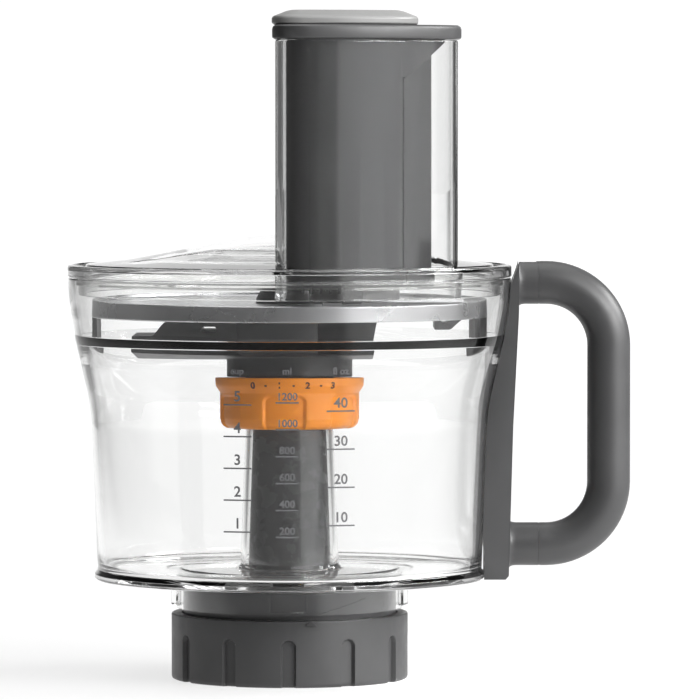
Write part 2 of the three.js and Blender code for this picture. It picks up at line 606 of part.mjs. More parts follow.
// The upright that ties the handle to the bowl, with the interlock rod's passage inside it.
function handleSpine() {
  const upright = sideways([
    [70, SPINE_FOOT_Z], [92.8, SPINE_FOOT_Z], [94, SPINE_FOOT_Z + 1.2], [96, 105], [98.5, 155],
    [98.5, SPINE_TOP_Z], [70, SPINE_TOP_Z],
  ], -SPINE_HALF_WIDTH, SPINE_HALF_WIDTH);
  const stub = (z) => solid(new THREE.CylinderGeometry(HANDLE_R, HANDLE_R + 0.6, 20, 20)
    .rotateZ(-Math.PI / 2).translate(HANDLE_ROOT_X - GAP - 10, 0, z));
  const bowlRoom = turned([
    [0, 30], ...BOWL_OUTSIDE.map(([r, z], i) => [r + GAP, i === 0 ? 30 : z]), [LID_RIM_R + 0.6, BOWL_TOP_Z],
    [LID_RIM_R + 0.6, 190], [0, 190],
  ], 96);
  const tabRoom = block(90, 106.2, -4.6, 14, SPINE_TOP_Z, 190);
  const lidRoom = ring(98.9, 0, SPINE_TOP_Z, 190, 96);
  const passage = onRodLine(ROD_R + GAP, 0, ROD_LENGTH + 4);
  const pocket = onRodLine(POCKET_R, 0, SPRING_LENGTH + SHOULDER + 1);
  return upright.add(stub(HANDLE_TOP_Z)).add(stub(HANDLE_BOTTOM_Z)).subtract(bowlRoom)
    .subtract(tabRoom).subtract(lidRoom).subtract(passage).subtract(pocket);
}

function interlockRod() {
  const shoulderAt = SPRING_LENGTH + 0.6;
  const shoulder = onRodLine(POCKET_R - GAP, shoulderAt, shoulderAt + SHOULDER);
  return onRodLine(ROD_R, shoulderAt - 8, ROD_LENGTH).add(shoulder);
}

class Helix extends THREE.Curve {
  getPoint(t, target = new THREE.Vector3()) {
    const angle = t * SPRING_TURNS * 2 * Math.PI;
    const rise = SPRING_WIRE_R + GAP + t * (SPRING_LENGTH - 2 * SPRING_WIRE_R - GAP);
    return target.set(SPRING_COIL_R * Math.cos(angle), SPRING_COIL_R * Math.sin(angle), rise);
  }
}

function interlockSpring() {
  const wire = new THREE.Shape().absarc(0, 0, SPRING_WIRE_R, 0, 2 * Math.PI);
  const options = { steps: SPRING_TURNS * 10, curveSegments: 3, bevelEnabled: false, extrudePath: new Helix() };
  const coil = solid(new THREE.ExtrudeGeometry(wire, options));
  const direction = ROD_TOP.clone().sub(ROD_FOOT).normalize();
  const tilt = THREE.MathUtils.radToDeg(Math.atan2(direction.x, direction.z));
  return coil.rotate([0, tilt, 0]).translate(ROD_FOOT.toArray());
}

// ---- Assembly ----------------------------------------------------------------------------

const group = new THREE.Group();
const add = (name, body, material) => group.add(piece(name, body, material));

add('base_collar', baseCollar(), darkPlastic());
add('gearbox_housing', gearboxHousing(), darkPlastic());
add('gearbox_cover', gearboxCover(), darkPlastic());
add('ring_gear', ringGear(), gearPlastic());
add('input_bush', ring(9, INPUT_SHAFT_R + GAP, HOUSING_FLOOR_Z, HOUSING_FLOOR_Z + WEB, 24), bronze());
add('output_bush', ring(OUTPUT_BUSH_R, SPINDLE_R + GAP, COVER_Z - 0.5, COVER_TOP_Z, 24), bronze());
add('input_dog', inputDog(), steel());
add('sun_gear', gearWheel(SUN_TEETH, INPUT_SHAFT_R + GAP, 0), steel());
add('planet_carrier', planetCarrier(), gearPlastic());
add('output_spindle', outputSpindle(), steel());
add('bowl', bowl(), clearPlastic());
add('bowl_neck', bowlNeck(), clearPlastic());
add('drive_shaft', driveShaft(), darkPlastic());
add('disc_hub', discHub(), darkPlastic());
add('thickness_dial', thicknessDial(), orangePlastic());
add('slicing_disc', slicingDisc(), steel());
add('slicing_blade', slicingBlade(), steel());
add('ramp_plate', rampPlate(), darkPlastic());
add('lid', lid(), clearPlastic());
add('lid_seal', lidSeal(), rubber());
add('main_pusher', mainPusher(), darkPlastic());
add('small_pusher', smallPusher(), darkPlastic());
add('pusher_cap', pusherCap(), greyPlastic());
add('handle_front', gripHalf(true), darkPlastic());
add('handle_back', gripHalf(false), darkPlastic());
add('handle_spine', handleSpine(), darkPlastic());
add('interlock_rod', interlockRod(), steel());
add('interlock_spring', interlockSpring(), steel());

for (let i = 0; i < PLANETS; i += 1) {
  const turn = i * 360 / PLANETS;
  const toothAngle = Math.PI / PLANET_TEETH;
  const planet = gearWheel(PLANET_TEETH, PIN_R + GAP, toothAngle).translate([PLANET_ORBIT_R, 0, 0]);
  const pin = rod(PIN_R, GEAR_Z + 0.2, CARRIER_TOP_Z).translate([PLANET_ORBIT_R, 0, 0]);
  const fixing = screw(1.2, 2.6, 9, COVER_TOP_Z + GAP).translate([SCREW_ORBIT_R, 0, 0]);
  add(`planet_gear_${i + 1}`, planet.rotate([0, 0, turn]), gearPlastic());
  add(`planet_pin_${i + 1}`, pin.rotate([0, 0, turn]), steel());
  add(`cover_screw_${i + 1}`, fixing.rotate([0, 0, turn + 60]), steel());
}

HANDLE_SCREWS.forEach(([x, z], i) => {
  const fixing = alongY(screw(1.2, 2.8, 11, 6 + GAP)).translate([x, 0, z]);
  add(`handle_screw_${i + 1}`, fixing, steel());
});

export default group;
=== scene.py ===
"""Food-processor attachment for a stand mixer: the looks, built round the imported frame.

Shapes are given in millimetres in the frame's own axes: +Z up the drive axis, +X towards the
handle, -Y towards the front. mesh_object turns them into metres.
"""

import math
from collections import namedtuple

import bmesh
import bpy
from mathutils import Matrix, Vector


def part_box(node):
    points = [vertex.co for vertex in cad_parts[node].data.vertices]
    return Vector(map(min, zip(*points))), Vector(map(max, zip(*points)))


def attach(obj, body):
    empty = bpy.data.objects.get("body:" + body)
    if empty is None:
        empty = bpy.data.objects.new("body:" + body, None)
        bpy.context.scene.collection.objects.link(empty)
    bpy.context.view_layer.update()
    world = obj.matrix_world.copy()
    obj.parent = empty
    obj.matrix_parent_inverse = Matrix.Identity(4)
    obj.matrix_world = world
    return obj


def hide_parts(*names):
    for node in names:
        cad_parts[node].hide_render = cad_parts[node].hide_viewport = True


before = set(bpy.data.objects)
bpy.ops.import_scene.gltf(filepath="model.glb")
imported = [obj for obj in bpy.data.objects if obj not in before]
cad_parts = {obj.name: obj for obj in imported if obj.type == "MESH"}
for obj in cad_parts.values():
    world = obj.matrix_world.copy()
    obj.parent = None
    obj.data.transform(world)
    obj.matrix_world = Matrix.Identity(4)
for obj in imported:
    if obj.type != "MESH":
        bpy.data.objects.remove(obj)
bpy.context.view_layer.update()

MM = 0.001


def span(node):
    """Lowest and highest corner of a CAD node at rest, in millimetres."""
    low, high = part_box(node)
    return low / MM, high / MM


# ---- Sizes, in millimetres -----------------------------------------------------------------

COLLAR_LOW, COLLAR_HIGH = span("base_collar")
HOUSING_LOW, HOUSING_HIGH = span("gearbox_housing")
BOWL_HIGH = span("bowl")[1]
SHAFT_LOW, SHAFT_HIGH = span("drive_shaft")
HUB_LOW = span("disc_hub")[0]
DIAL_LOW, DIAL_HIGH = span("thickness_dial")
DISC_LOW, DISC_HIGH = span("slicing_disc")
LID_LOW, LID_HIGH = span("lid")
SEAL_LOW, SEAL_HIGH = span("lid_seal")
PUSHER_LOW, PUSHER_HIGH = span("main_pusher")
SMALL_LOW, SMALL_HIGH = span("small_pusher")
CAP_LOW, CAP_HIGH = span("pusher_cap")
SPINE_LOW, SPINE_HIGH = span("handle_spine")
GRIP_LOW, GRIP_HIGH = span("handle_front")

GAP = 0.3
COLLAR_R = COLLAR_HIGH.x
COLLAR_BORE_R = 46.5
HOUSING_R = HOUSING_HIGH.x
BOWL_RIM_R = BOWL_HIGH.x
BOWL_RIM_Z = BOWL_HIGH.z
BOWL_FLOOR_Z = 40.0
BOWL_FLOOR = 3.0
BOWL_FOOT_R = 84.0
BOWL_WALL = 2.7
LEDGE_Z = 142.0                 # foot of the sloping ledge inside the bowl
TUBE_R = 20.9                   # outside of the centre tube at a height of 52 mm
TUBE_TAPER = 0.0372             # what each millimetre of height takes off it
TUBE_TOP_Z = 108.5
NECK_R = 48.6
NECK_BOTTOM_Z = 27.5
LUG_R = 51.2
DIAL_R = 29.9
DIAL_LIP_R = DIAL_HIGH.x
HUB_R = 27.0
DISC_R = DISC_HIGH.x
LID_R = 95.5
LID_RIM_Z = 170.0
LID_RIM_TOP_Z = 175.2
LID_CROWN_Z = 182.3
CHANNEL_TOP_Z = 187.0
PLUG_R = 91.0
LID_WALL = 2.4
FEED_TOP_Z = 271.2
FLANGE_Z = FEED_TOP_Z + GAP
HANDLE_R = 9.25
GRIP_X = GRIP_HIGH.x - HANDLE_R
TOP_LEG_Z = GRIP_HIGH.z - HANDLE_R
BOTTOM_LEG_Z = GRIP_LOW.z + HANDLE_R
BEND_R = 27.0

FRONT = math.radians(-90)       # the direction of -Y, where the scale is printed


# ---- Outlines ------------------------------------------------------------------------------

def rounded(corners, arc_steps=5, closed=True):
    """Points (a, b) or (a, b, radius): the corners with a radius become arcs."""
    result = []
    count = len(corners)
    for i, corner in enumerate(corners):
        here = Vector(corner[:2])
        radius = corner[2] if len(corner) > 2 else 0
        at_end = not closed and i in (0, count - 1)
        if radius <= 0 or at_end:
            result.append((here.x, here.y))
            continue
        before = Vector(corners[i - 1][:2]) - here
        after = Vector(corners[(i + 1) % count][:2]) - here
        half = before.angle(after) / 2
        reach = min(radius / math.tan(half), before.length * 0.49, after.length * 0.49)
        start = here + before.normalized() * reach
        end = here + after.normalized() * reach
        inwards = (before.normalized() + after.normalized()).normalized()
        centre = here + inwards * (reach / math.cos(half))
        first = start - centre
        sweep = first.angle_signed(end - centre)
        for step in range(arc_steps + 1):
            angle = -sweep * step / arc_steps
            c, s = math.cos(angle), math.sin(angle)
            result.append((centre.x + c * first.x - s * first.y, centre.y + s * first.x + c * first.y))
    return result


def smooth_step(low, high, value):
    t = min(1.0, max(0.0, (value - low) / (high - low)))
    return t * t * (3 - 2 * t)


def wrapped(angle):
    """The same angle between -pi and pi."""
    return (angle + math.pi) % (2 * math.pi) - math.pi


# ---- Meshes --------------------------------------------------------------------------------

def mesh_object(name, points, faces, sharp=35):
    """A closed mesh from points in millimetres, smooth except across edges above `sharp` degrees."""
    data = bpy.data.meshes.new(name)
    data.from_pydata([Vector(p) * MM for p in points], [], faces)
    obj = bpy.data.objects.new(name, data)
    bpy.context.collection.objects.link(obj)
    tidy(obj, sharp)
    return obj


def tidy(obj, sharp=35):
    """Merges doubled points, turns the faces outwards and sets which edges look sharp."""
    mesh = bmesh.new()
    mesh.from_mesh(obj.data)
    bmesh.ops.remove_doubles(mesh, verts=mesh.verts, dist=0.002 * MM)
    bmesh.ops.dissolve_degenerate(mesh, edges=mesh.edges, dist=0.001 * MM)
    bmesh.ops.recalc_face_normals(mesh, faces=mesh.faces)
    mesh.to_mesh(obj.data)
    mesh.free()
    obj.data.shade_smooth()
    obj.data.set_sharp_from_angle(angle=math.radians(sharp))


def even_angles(count):
    return [2 * math.pi * i / count for i in range(count)]


def lathe(name, profile, angles=None, offset=None, sharp=35):
    """A closed [radius, height] profile turned about Z. `offset` may move a radius by place."""
    angles = angles or even_angles(192)
    rows = len(profile)
    points = []
    for angle in angles:
        c, s = math.cos(angle), math.sin(angle)
        for r, z in profile:
            radius = r + (offset(angle, r, z) if offset else 0)
            points.append((radius * c, radius * s, z))
    faces = []
    for i in range(len(angles)):
        a, b = i * rows, (i + 1) % len(angles) * rows
        for j in range(rows):
            k = (j + 1) % rows
            faces.append((a + j, b + j, b + k, a + k))
    return mesh_object(name, points, faces, sharp)


def skin(name, sections, sharp=35):
    """A closed skin through sections of equally many points, flat at both ends."""
    rows = len(sections[0])
    points = [point for section in sections for point in section]
    faces = [tuple(range(rows)), tuple(range(len(points) - 1, len(points) - rows - 1, -1))]
    for i in range(len(sections) - 1):
        for j in range(rows):
            a, b = i * rows + j, i * rows + (j + 1) % rows
            faces.append((a, b, b + rows, a + rows))
    return mesh_object(name, points, faces, sharp)


def prism(name, outline, low, high, axis="z", sharp=35):
    """A flat outline given thickness: along Z from (x, y) points or along Y from (x, z) points."""
    if axis == "z":
        sections = [[(x, y, depth) for x, y in outline] for depth in (low, high)]
    else:
        sections = [[(x, depth, z) for x, z in outline] for depth in (low, high)]
    return skin(name, sections, sharp)


def stacked(name, layers, sharp=35):
    """A closed skin through outlines of equal length: [(outline, z), ...] from the bottom up."""
    return skin(name, [[(x, y, z) for x, y in outline] for outline, z in layers], sharp)


def apply_modifiers(obj):
    """Replaces the mesh by what its modifiers make of it."""
    graph = bpy.context.evaluated_depsgraph_get()
    made = bpy.data.meshes.new_from_object(obj.evaluated_get(graph))
    obj.modifiers.clear()
    obj.data = made


def boolean(target, tool, operation, sharp=35):
    """Joins, cuts or intersects target with tool, and removes tool."""
    modifier = target.modifiers.new("boolean", "BOOLEAN")
    modifier.operation = operation
    modifier.solver = "EXACT"
    modifier.object = tool
    apply_modifiers(target)
    bpy.data.objects.remove(tool)
    tidy(target, sharp)
    return target


def soften(obj, width, segments=3, angle=30):
    """Rounds the edges sharper than `angle` degrees by `width` millimetres."""
    modifier = obj.modifiers.new("soften", "BEVEL")
    modifier.width = width * MM
    modifier.segments = segments
    modifier.limit_method = "ANGLE"
    modifier.angle_limit = math.radians(angle)
    modifier.harden_normals = True
    modifier.use_clamp_overlap = True
    return obj


# ---- Materials -----------------------------------------------------------------------------

class Nodes:
    """A short way to write one material's node tree round its Principled shader."""

    def __init__(self, name, **values):
        self.material = bpy.data.materials.new(name)
        self.material.use_nodes = True
        self.tree = self.material.node_tree
        self.shader = self.tree.nodes["Principled BSDF"]
        for socket, value in values.items():
            self.shader.inputs[socket.replace("_", " ")].default_value = value

    def add(self, kind, inputs=None, **settings):
        node = self.tree.nodes.new(kind)
        for key, value in settings.items():
            setattr(node, key, value)
        for key, value in (inputs or {}).items():
            if isinstance(value, bpy.types.NodeSocket):
                self.tree.links.new(value, node.inputs[key])
            else:
                node.inputs[key].default_value = value
        return node

    def place(self):
        """Object coordinates, in metres, so that a pattern moves with its piece."""
        return self.add("ShaderNodeTexCoord").outputs["Object"]

    def noise(self, scale, detail=3.0, vector=None):
        inputs = {"Vector": vector or self.place(), "Scale": scale, "Detail": detail}
        return self.add("ShaderNodeTexNoise", inputs).outputs["Fac"]

    def spread(self, value, low, high, start=0.3, end=0.7):
        """The value's range start..end taken to low..high."""
        inputs = {"Value": value, "From Min": start, "From Max": end, "To Min": low, "To Max": high}
        return self.add("ShaderNodeMapRange", inputs).outputs["Result"]

    def ramp(self, value, dark, light):
        return self.mix(value, (*dark, 1), (*light, 1))

    def mix(self, factor, first, second):
        """Blends two colours; sockets 6 and 7 are the Mix node's colour inputs, 2 its output."""
        return self.add("ShaderNodeMix", {0: factor, 6: first, 7: second}, data_type="RGBA").outputs[2]

    def drive(self, socket, output):
        self.tree.links.new(output, self.shader.inputs[socket])

    def bump(self, height, strength, distance):
        inputs = {"Height": height, "Strength": strength, "Distance": distance}
        self.drive("Normal", self.add("ShaderNodeBump", inputs).outputs["Normal"])


def moulded(name, colour, roughness, variation=0.12, grain=3200, depth=0.00003):
    """Satin moulded plastic: spark-eroded grain, faint flow marks and paler worn edges."""
    nodes = Nodes(name, IOR=1.5)
    cloud = nodes.spread(nodes.noise(38, 5), 0.0, 1.0)
    dark = [c * (1 - variation) for c in colour]
    light = [c * (1 + variation) for c in colour]
    body = nodes.ramp(cloud, dark, light)
    wear = nodes.spread(nodes.add("ShaderNodeNewGeometry").outputs["Pointiness"], 0.0, 0.35, 0.53, 0.62)
    nodes.drive("Base Color", nodes.mix(wear, body, (*[min(1, c * 1.7 + 0.02) for c in colour], 1)))
    nodes.drive("Roughness", nodes.spread(nodes.noise(140, 4), roughness - 0.05, roughness + 0.06))
    nodes.bump(nodes.noise(grain, 2), 0.12, depth)
    return nodes.material


def clear(name, tint=(0.98, 0.982, 0.98)):
    """Clear polished copolyester with a very slight waviness and fine rubbing marks."""
    nodes = Nodes(name, IOR=1.5, Transmission_Weight=1.0, Specular_IOR_Level=0.5)
    nodes.shader.inputs["Base Color"].default_value = (*tint, 1)
    nodes.drive("Roughness", nodes.spread(nodes.noise(60, 6), 0.0, 0.004))
    nodes.bump(nodes.noise(28, 2), 0.01, 0.0001)
    return nodes.material


def silicone(name, colour):
    """Translucent seal rubber with a fine matt skin."""
    nodes = Nodes(name, IOR=1.41, Transmission_Weight=1.0)
    cloud = nodes.spread(nodes.noise(120, 3), 0, 1)
    nodes.drive("Base Color", nodes.ramp(cloud, [c * 0.95 for c in colour], colour))
    nodes.drive("Roughness", nodes.spread(nodes.noise(300, 3), 0.0, 0.03))
    nodes.bump(nodes.noise(400, 2), 0.02, 0.00002)
    return nodes.material


def brushed(name, colour, roughness, direction="round"):
    """Metal brushed round the drive axis, or along X."""
    nodes = Nodes(name, Metallic=1.0)
    split = nodes.add("ShaderNodeSeparateXYZ", {"Vector": nodes.place()})
    x, y, z = (split.outputs[axis] for axis in "XYZ")
    if direction == "round":
        flat = nodes.add("ShaderNodeCombineXYZ", {"X": x, "Y": y, "Z": 0.0}).outputs[0]
        line = nodes.add("ShaderNodeVectorMath", {0: flat}, operation="LENGTH").outputs["Value"]
    else:
        line = y
    grooves = nodes.add("ShaderNodeCombineXYZ", {"X": line, "Y": z, "Z": 0.0}).outputs[0]
    brush = nodes.noise(2600, 3, grooves)
    nodes.drive("Base Color", nodes.ramp(nodes.spread(brush, 0, 1), [c * 0.9 for c in colour], colour))
    nodes.drive("Roughness", nodes.spread(nodes.noise(45, 4), roughness - 0.05, roughness + 0.07))
    nodes.bump(brush, 0.25, 0.00002)
    return nodes.material


def printed(name, colour):
    """Screen-printed ink, slightly uneven."""
    nodes = Nodes(name, IOR=1.45)
    ink = nodes.spread(nodes.noise(900, 2), 0, 1)
    nodes.drive("Base Color", nodes.ramp(ink, [c * 0.85 for c in colour], [min(1, c * 1.15) for c in colour]))
    nodes.drive("Roughness", nodes.spread(nodes.noise(400, 2), 0.45, 0.6))
    return nodes.material


DARK = moulded("dark_plastic_satin", (0.045, 0.045, 0.046), 0.42)
# The drive shaft's dark plastic is smoother than the satin one. Its colour is painted about three times paler
# as painted sheen, standing in for the broad highlight and reflections on the shaft.
DARK_SMOOTH_PAINTED_SHEEN = moulded("dark_plastic_smooth_painted_sheen", (0.14, 0.14, 0.142), 0.26, 0.05, 1500, 0.00001)
DARK_CUP = moulded("dark_plastic_cup", (0.085, 0.085, 0.087), 0.4)
PALE_GREY = moulded("light_grey_plastic", (0.22, 0.22, 0.217), 0.38, 0.04)
ORANGE = moulded("orange_plastic", (1.0, 0.31, 0.006), 0.42, 0.08, 2200, 0.00002)
ACETAL = moulded("gear_acetal", (0.74, 0.72, 0.65), 0.35, 0.04)
SILICONE = silicone("seal_silicone", (0.97, 0.97, 0.96))
CLEAR = clear("clear_plastic")
STEEL = brushed("brushed_steel", (0.62, 0.62, 0.63), 0.28)
BLADE_STEEL = brushed("blade_steel", (0.70, 0.70, 0.71), 0.2, "along")
TURNED_STEEL = brushed("turned_steel", (0.55, 0.55, 0.56), 0.32)
BRONZE = brushed("sintered_bronze", (0.50, 0.33, 0.16), 0.45)
INK = printed("print_dark_grey", (0.115, 0.115, 0.12))
# The millilitre column's print is real print. Its ink is painted a little paler than the other print as
# painted reflection, which lightens the figures over the dark shaft.
INK_PAINTED_REFLECTION = printed("print_grey_painted_reflection", (0.13, 0.13, 0.135))
DIAL_INK = printed("print_brown", (0.10, 0.03, 0.015))


def finished(obj, body, material, slot, *nodes):
    """Gives a piece its finish and its body, and hides the CAD nodes that it stands for."""
    obj.data.materials.clear()
    obj.data.materials.append(material)
    shading = obj.modifiers.new("large_faces_stay_flat", "WEIGHTED_NORMAL")
    shading.keep_sharp = True
    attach(obj, body)
    if nodes:
        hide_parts(*nodes)
    return obj


# ---- Base ----------------------------------------------------------------------------------

GRIP_SLOTS = 12
SLOT_HALF = 2.9
SLOT_DEPTH = 1.8
SLOT_CENTRE_Z = 17.0 - SLOT_HALF


def slot_angles():
    """Angles round the collar, crowded across each grip slot."""
    angles = set(even_angles(180))
    for k in range(GRIP_SLOTS):
        centre = 2 * math.pi * k / GRIP_SLOTS
        for step in range(-10, 11):
            angles.add((centre + step * 0.36 / COLLAR_R) % (2 * math.pi))
    return sorted(angles)


def slot_depth(angle, r, z):
    """How far the collar's outside is sunk at this place: a round-topped slot, open below."""
    if r < COLLAR_R - 1.5:
        return 0
    pitch = 2 * math.pi / GRIP_SLOTS
    nearest = round(angle / pitch) * pitch
    across = abs(wrapped(angle - nearest)) * COLLAR_R
    from_edge = math.hypot(across, max(0, z - SLOT_CENTRE_Z)) - SLOT_HALF
    return -SLOT_DEPTH * (1 - smooth_step(-0.35, 0.3, from_edge))


def build_collar():
    foot, top = COLLAR_LOW.z, COLLAR_HIGH.z - 0.5
    rows = [foot + 1.2 + 0.45 * i for i in range(int((18.0 - foot - 1.2) / 0.45) + 1)]
    profile = [(COLLAR_BORE_R, foot + 0.4), (COLLAR_BORE_R + 0.4, foot), (COLLAR_R - 1.0, foot)]
    profile += [(COLLAR_R - 0.3, foot + 0.35)] + [(COLLAR_R, z) for z in rows]
    profile += [(COLLAR_R, top - 0.7), (COLLAR_R - 0.25, top - 0.2), (COLLAR_R - 0.8, top)]
    profile += [(COLLAR_BORE_R, top), (COLLAR_BORE_R, 8.7), (39, 8.7), (39, 5.7), (COLLAR_BORE_R, 5.7)]
    collar = lathe("collar", profile, slot_angles(), slot_depth)
    for k in range(3):
        middle = math.radians(30 + 120 * k)
        half = math.radians(11)
        arc = [middle - half + 2 * half * i / 12 for i in range(13)]
        outline = [(43 * math.cos(a), 43 * math.sin(a)) for a in arc]
        outline += [(47 * math.cos(a), 47 * math.sin(a)) for a in reversed(arc)]
        boolean(collar, prism("lug", outline, -2, 1), "UNION")
    finished(collar, "base", DARK, "dark_plastic", "base_collar")


def build_pointer():
    """The small alignment arrow and the fine ramp line on the base's front."""
    outline = [(7.0, COLLAR_HIGH.z - 2.6), (12.2, COLLAR_HIGH.z - 2.6), (9.6, COLLAR_HIGH.z - 0.1)]
    arrow = prism("alignment_arrow", outline, -COLLAR_R - 0.35, -COLLAR_R + 0.4, "y")
    finished(soften(arrow, 0.2), "base", DARK, "dark_plastic")
    profile = ((HOUSING_R - 0.4, -0.45), (HOUSING_R + 0.3, 0), (HOUSING_R - 0.4, 0.45))
    sections = []
    for i in range(25):
        angle = FRONT + math.radians(17 + 27 * i / 24)
        z = COLLAR_HIGH.z + 2.1 + 6.0 * i / 24
        sections.append([(r * math.cos(angle), r * math.sin(angle), z + rise) for r, rise in profile])
    finished(skin("locking_ridge", sections), "base", DARK, "dark_plastic")


def build_housing():
    low, high = HOUSING_LOW.z, HOUSING_HIGH.z
    profile = rounded([
        (9.3, low), (HOUSING_R, low, 0.8), (HOUSING_R, high, 0.9), (42.4, high, 0.3), (42.4, 33.7),
        (40.5, 33.7), (40.5, low + 3), (9.3, low + 3),
    ])
    housing = lathe("housing", profile)
    finished(housing, "base", DARK_CUP, "dark_plastic", "gearbox_housing")


# ---- Bowl ----------------------------------------------------------------------------------

# The bowl's outside: a gentle taper, then a flare that starts above the dial.
BOWL_SIDE = [(83.0, 52.0), (84.0, 78.0, 60), (85.5, 114.0, 100), (92.3, 143.0, 60), (94.6, 157.0, 60),
             (95.1, 164.0)]
BOWL_CURVE = rounded(BOWL_SIDE, 8, closed=False)


def tube_r(z):
    return TUBE_R - TUBE_TAPER * (z - 52)


def build_bowl():
    floor = BOWL_FLOOR_Z + BOWL_FLOOR
    outside = [(BOWL_FOOT_R, BOWL_FLOOR_Z, 2.0), (BOWL_FOOT_R, BOWL_FLOOR_Z + 2.6, 0.7),
               (BOWL_FOOT_R - 1.3, BOWL_FLOOR_Z + 4.2, 1)] + BOWL_SIDE
    rim = [(BOWL_RIM_R, BOWL_RIM_Z - 0.1, 0.5), (BOWL_RIM_R - BOWL_WALL, BOWL_RIM_Z - 0.1, 0.8)]
    step = [(BOWL_RIM_R - BOWL_WALL - 0.2, 160), (BOWL_RIM_R - BOWL_WALL - 1.6, 152),
            (89.9, LEDGE_Z + 3.4, 0.6), (86.5, LEDGE_Z, 0.6), (85.9, 133, 20), (82.9, 114, 100),
            (81.3, 78, 60), (80.3, 52)]
    well = [(79.3, floor, 5), (53.2, floor, 0.5), (52.4, floor - 0.8, 0.4), (47.4, floor - 0.8, 0.4),
            (46.6, floor, 0.5), (22.6, floor, 1.8)]
    tube = [(tube_r(floor + 3), floor + 3, 1), (tube_r(TUBE_TOP_Z), TUBE_TOP_Z, 0.6),
            (tube_r(TUBE_TOP_Z) - 2, TUBE_TOP_Z, 0.6), (tube_r(BOWL_FLOOR_Z) - 2, BOWL_FLOOR_Z)]
    profile = rounded(outside + rim + step + well + tube, 8)
    bowl = lathe("bowl_clear", profile, even_angles(256), sharp=50)
    finished(bowl, "bowl", CLEAR, "clear_plastic", "bowl")


def build_neck():
    """The bowl's bayonet ring round the gearbox housing, with its four lugs."""
    top = BOWL_FLOOR_Z - 0.02
    inner = HOUSING_R + 0.5
    pitch = math.pi / 2
    half = math.radians(8.5)

    def lug(angle, r, z):
        if r < NECK_R - 0.6:
            return 0
        away = abs(wrapped(angle - round(angle / pitch) * pitch))
        side = 1 - smooth_step(half, half + 0.02, away)
        return (LUG_R - NECK_R) * side * smooth_step(NECK_BOTTOM_Z + 1.0, NECK_BOTTOM_Z + 1.7, z)

    angles = set(even_angles(128))
    for k in range(4):
        for edge in (-half, -half - 0.01, -half - 0.02, half, half + 0.01, half + 0.02):
            angles.add((k * pitch + edge) % (2 * math.pi))
    heights = (NECK_BOTTOM_Z, NECK_BOTTOM_Z + 1.0, NECK_BOTTOM_Z + 1.4, NECK_BOTTOM_Z + 1.7, top)
    profile = [(inner, NECK_BOTTOM_Z)] + [(NECK_R, z) for z in heights] + [(inner, top)]
    neck = lathe("bowl_neck", profile, sorted(angles), lug)
    finished(neck, "bowl", CLEAR, "clear_plastic", "bowl_neck")


def wrap_front(obj, radius_at, unrolled_r=None):
    """Bends a flat drawing (x across, y up, z out, in mm) round the drive axis at the front."""
    for vertex in obj.data.vertices:
        x, y, out = vertex.co / MM
        radius = radius_at(y) + out
        angle = FRONT + x / (unrolled_r or radius_at(y))
        vertex.co = Vector((radius * math.cos(angle), radius * math.sin(angle), y)) * MM


def lettering(name, text, size, x, y, thickness=0.05):
    """Raised lettering as a mesh in the flat drawing, centred on (x, y), all in millimetres."""
    curve = bpy.data.curves.new(name, "FONT")
    curve.body = text
    curve.size = size
    curve.align_x = "CENTER"
    curve.align_y = "CENTER"
    curve.extrude = thickness
    curve.offset = 0.1
    curve.resolution_u = 4
    holder = bpy.data.objects.new(name, curve)
    bpy.context.collection.objects.link(holder)
    graph = bpy.context.evaluated_depsgraph_get()
    data = bpy.data.meshes.new_from_object(holder.evaluated_get(graph))
    bpy.data.objects.remove(holder)
    obj = bpy.data.objects.new(name, data)
    bpy.context.collection.objects.link(obj)
    for vertex in data.vertices:
        vertex.co = Vector((vertex.co.x + x, vertex.co.y + y, vertex.co.z)) * MM
    return obj


def bar(name, x0, x1, y, thick=0.62, depth=0.05):
    """A printed line of the scale, cut into short lengths so that it can bend."""
    pieces = max(2, int((x1 - x0) / 1.5))
    low, high = y - thick / 2, y + thick / 2
    sections = []
    for i in range(pieces + 1):
        x = x0 + (x1 - x0) * i / pieces
        sections.append([(x, low, -depth), (x, high, -depth), (x, high, depth), (x, low, depth)])
    return skin(name, sections)


def joined(name, parts):
    """Several meshes as one object."""
    mesh = bmesh.new()
    for part in parts:
        mesh.from_mesh(part.data)
        bpy.data.objects.remove(part)
    data = bpy.data.meshes.new(name)
    mesh.to_mesh(data)
    mesh.free()
    obj = bpy.data.objects.new(name, data)
    bpy.context.collection.objects.link(obj)
    return obj


def side_radius(z):
    """The bowl's outside radius at a height, along its curve."""
    for (r0, z0), (r1, z1) in zip(BOWL_CURVE, BOWL_CURVE[1:]):
        if z <= z1:
            return r0 + (r1 - r0) * max(0, z - z0) / (z1 - z0)
    return BOWL_CURVE[-1][0]


SCALE_ZERO_Z = 52.1             # where the marks would start
MM_PER_ML = 0.0564              # height of one millilitre on the bowl's side
SCALE_COLUMNS = (
    # unit, ml in each step, labels, line from x to x, size of the figures, ink
    ("cup", 236.6, ("1", "2", "3", "4", "5"), -27.3, -15.2, 6.2, INK),
    # The millilitre column uses the ink with painted reflection.
    ("ml", 200.0, ("200", "400", "600", "800", "1000", "1200"), -5.0, 4.6, 4.4, INK_PAINTED_REFLECTION),
    ("fl oz", 284.1, ("10", "20", "30", "40"), 16.4, 28.5, 6.0, INK),
)


def build_scale():
    """The measuring scale printed on the bowl's front: cups, millilitres and fluid ounces."""
    for unit, step, labels, x0, x1, size, ink in SCALE_COLUMNS:
        parts = []
        for i, label in enumerate(labels):
            z = SCALE_ZERO_Z + MM_PER_ML * step * (i + 1)
            parts.append(bar("mark", x0, x1, z))
            parts.append(lettering("figure", label, size, (x0 + x1) / 2, z + size * 0.55))
        parts.append(lettering("unit", unit, 4.0, (x0 + x1) / 2, 133))
        column = joined("scale_" + unit.replace(" ", "_"), parts)
        wrap_front(column, lambda z: side_radius(z) + 0.06)
        finished(column, "bowl", ink, "dark_plastic")


# ---- Drive shaft, dial and disc ------------------------------------------------------------

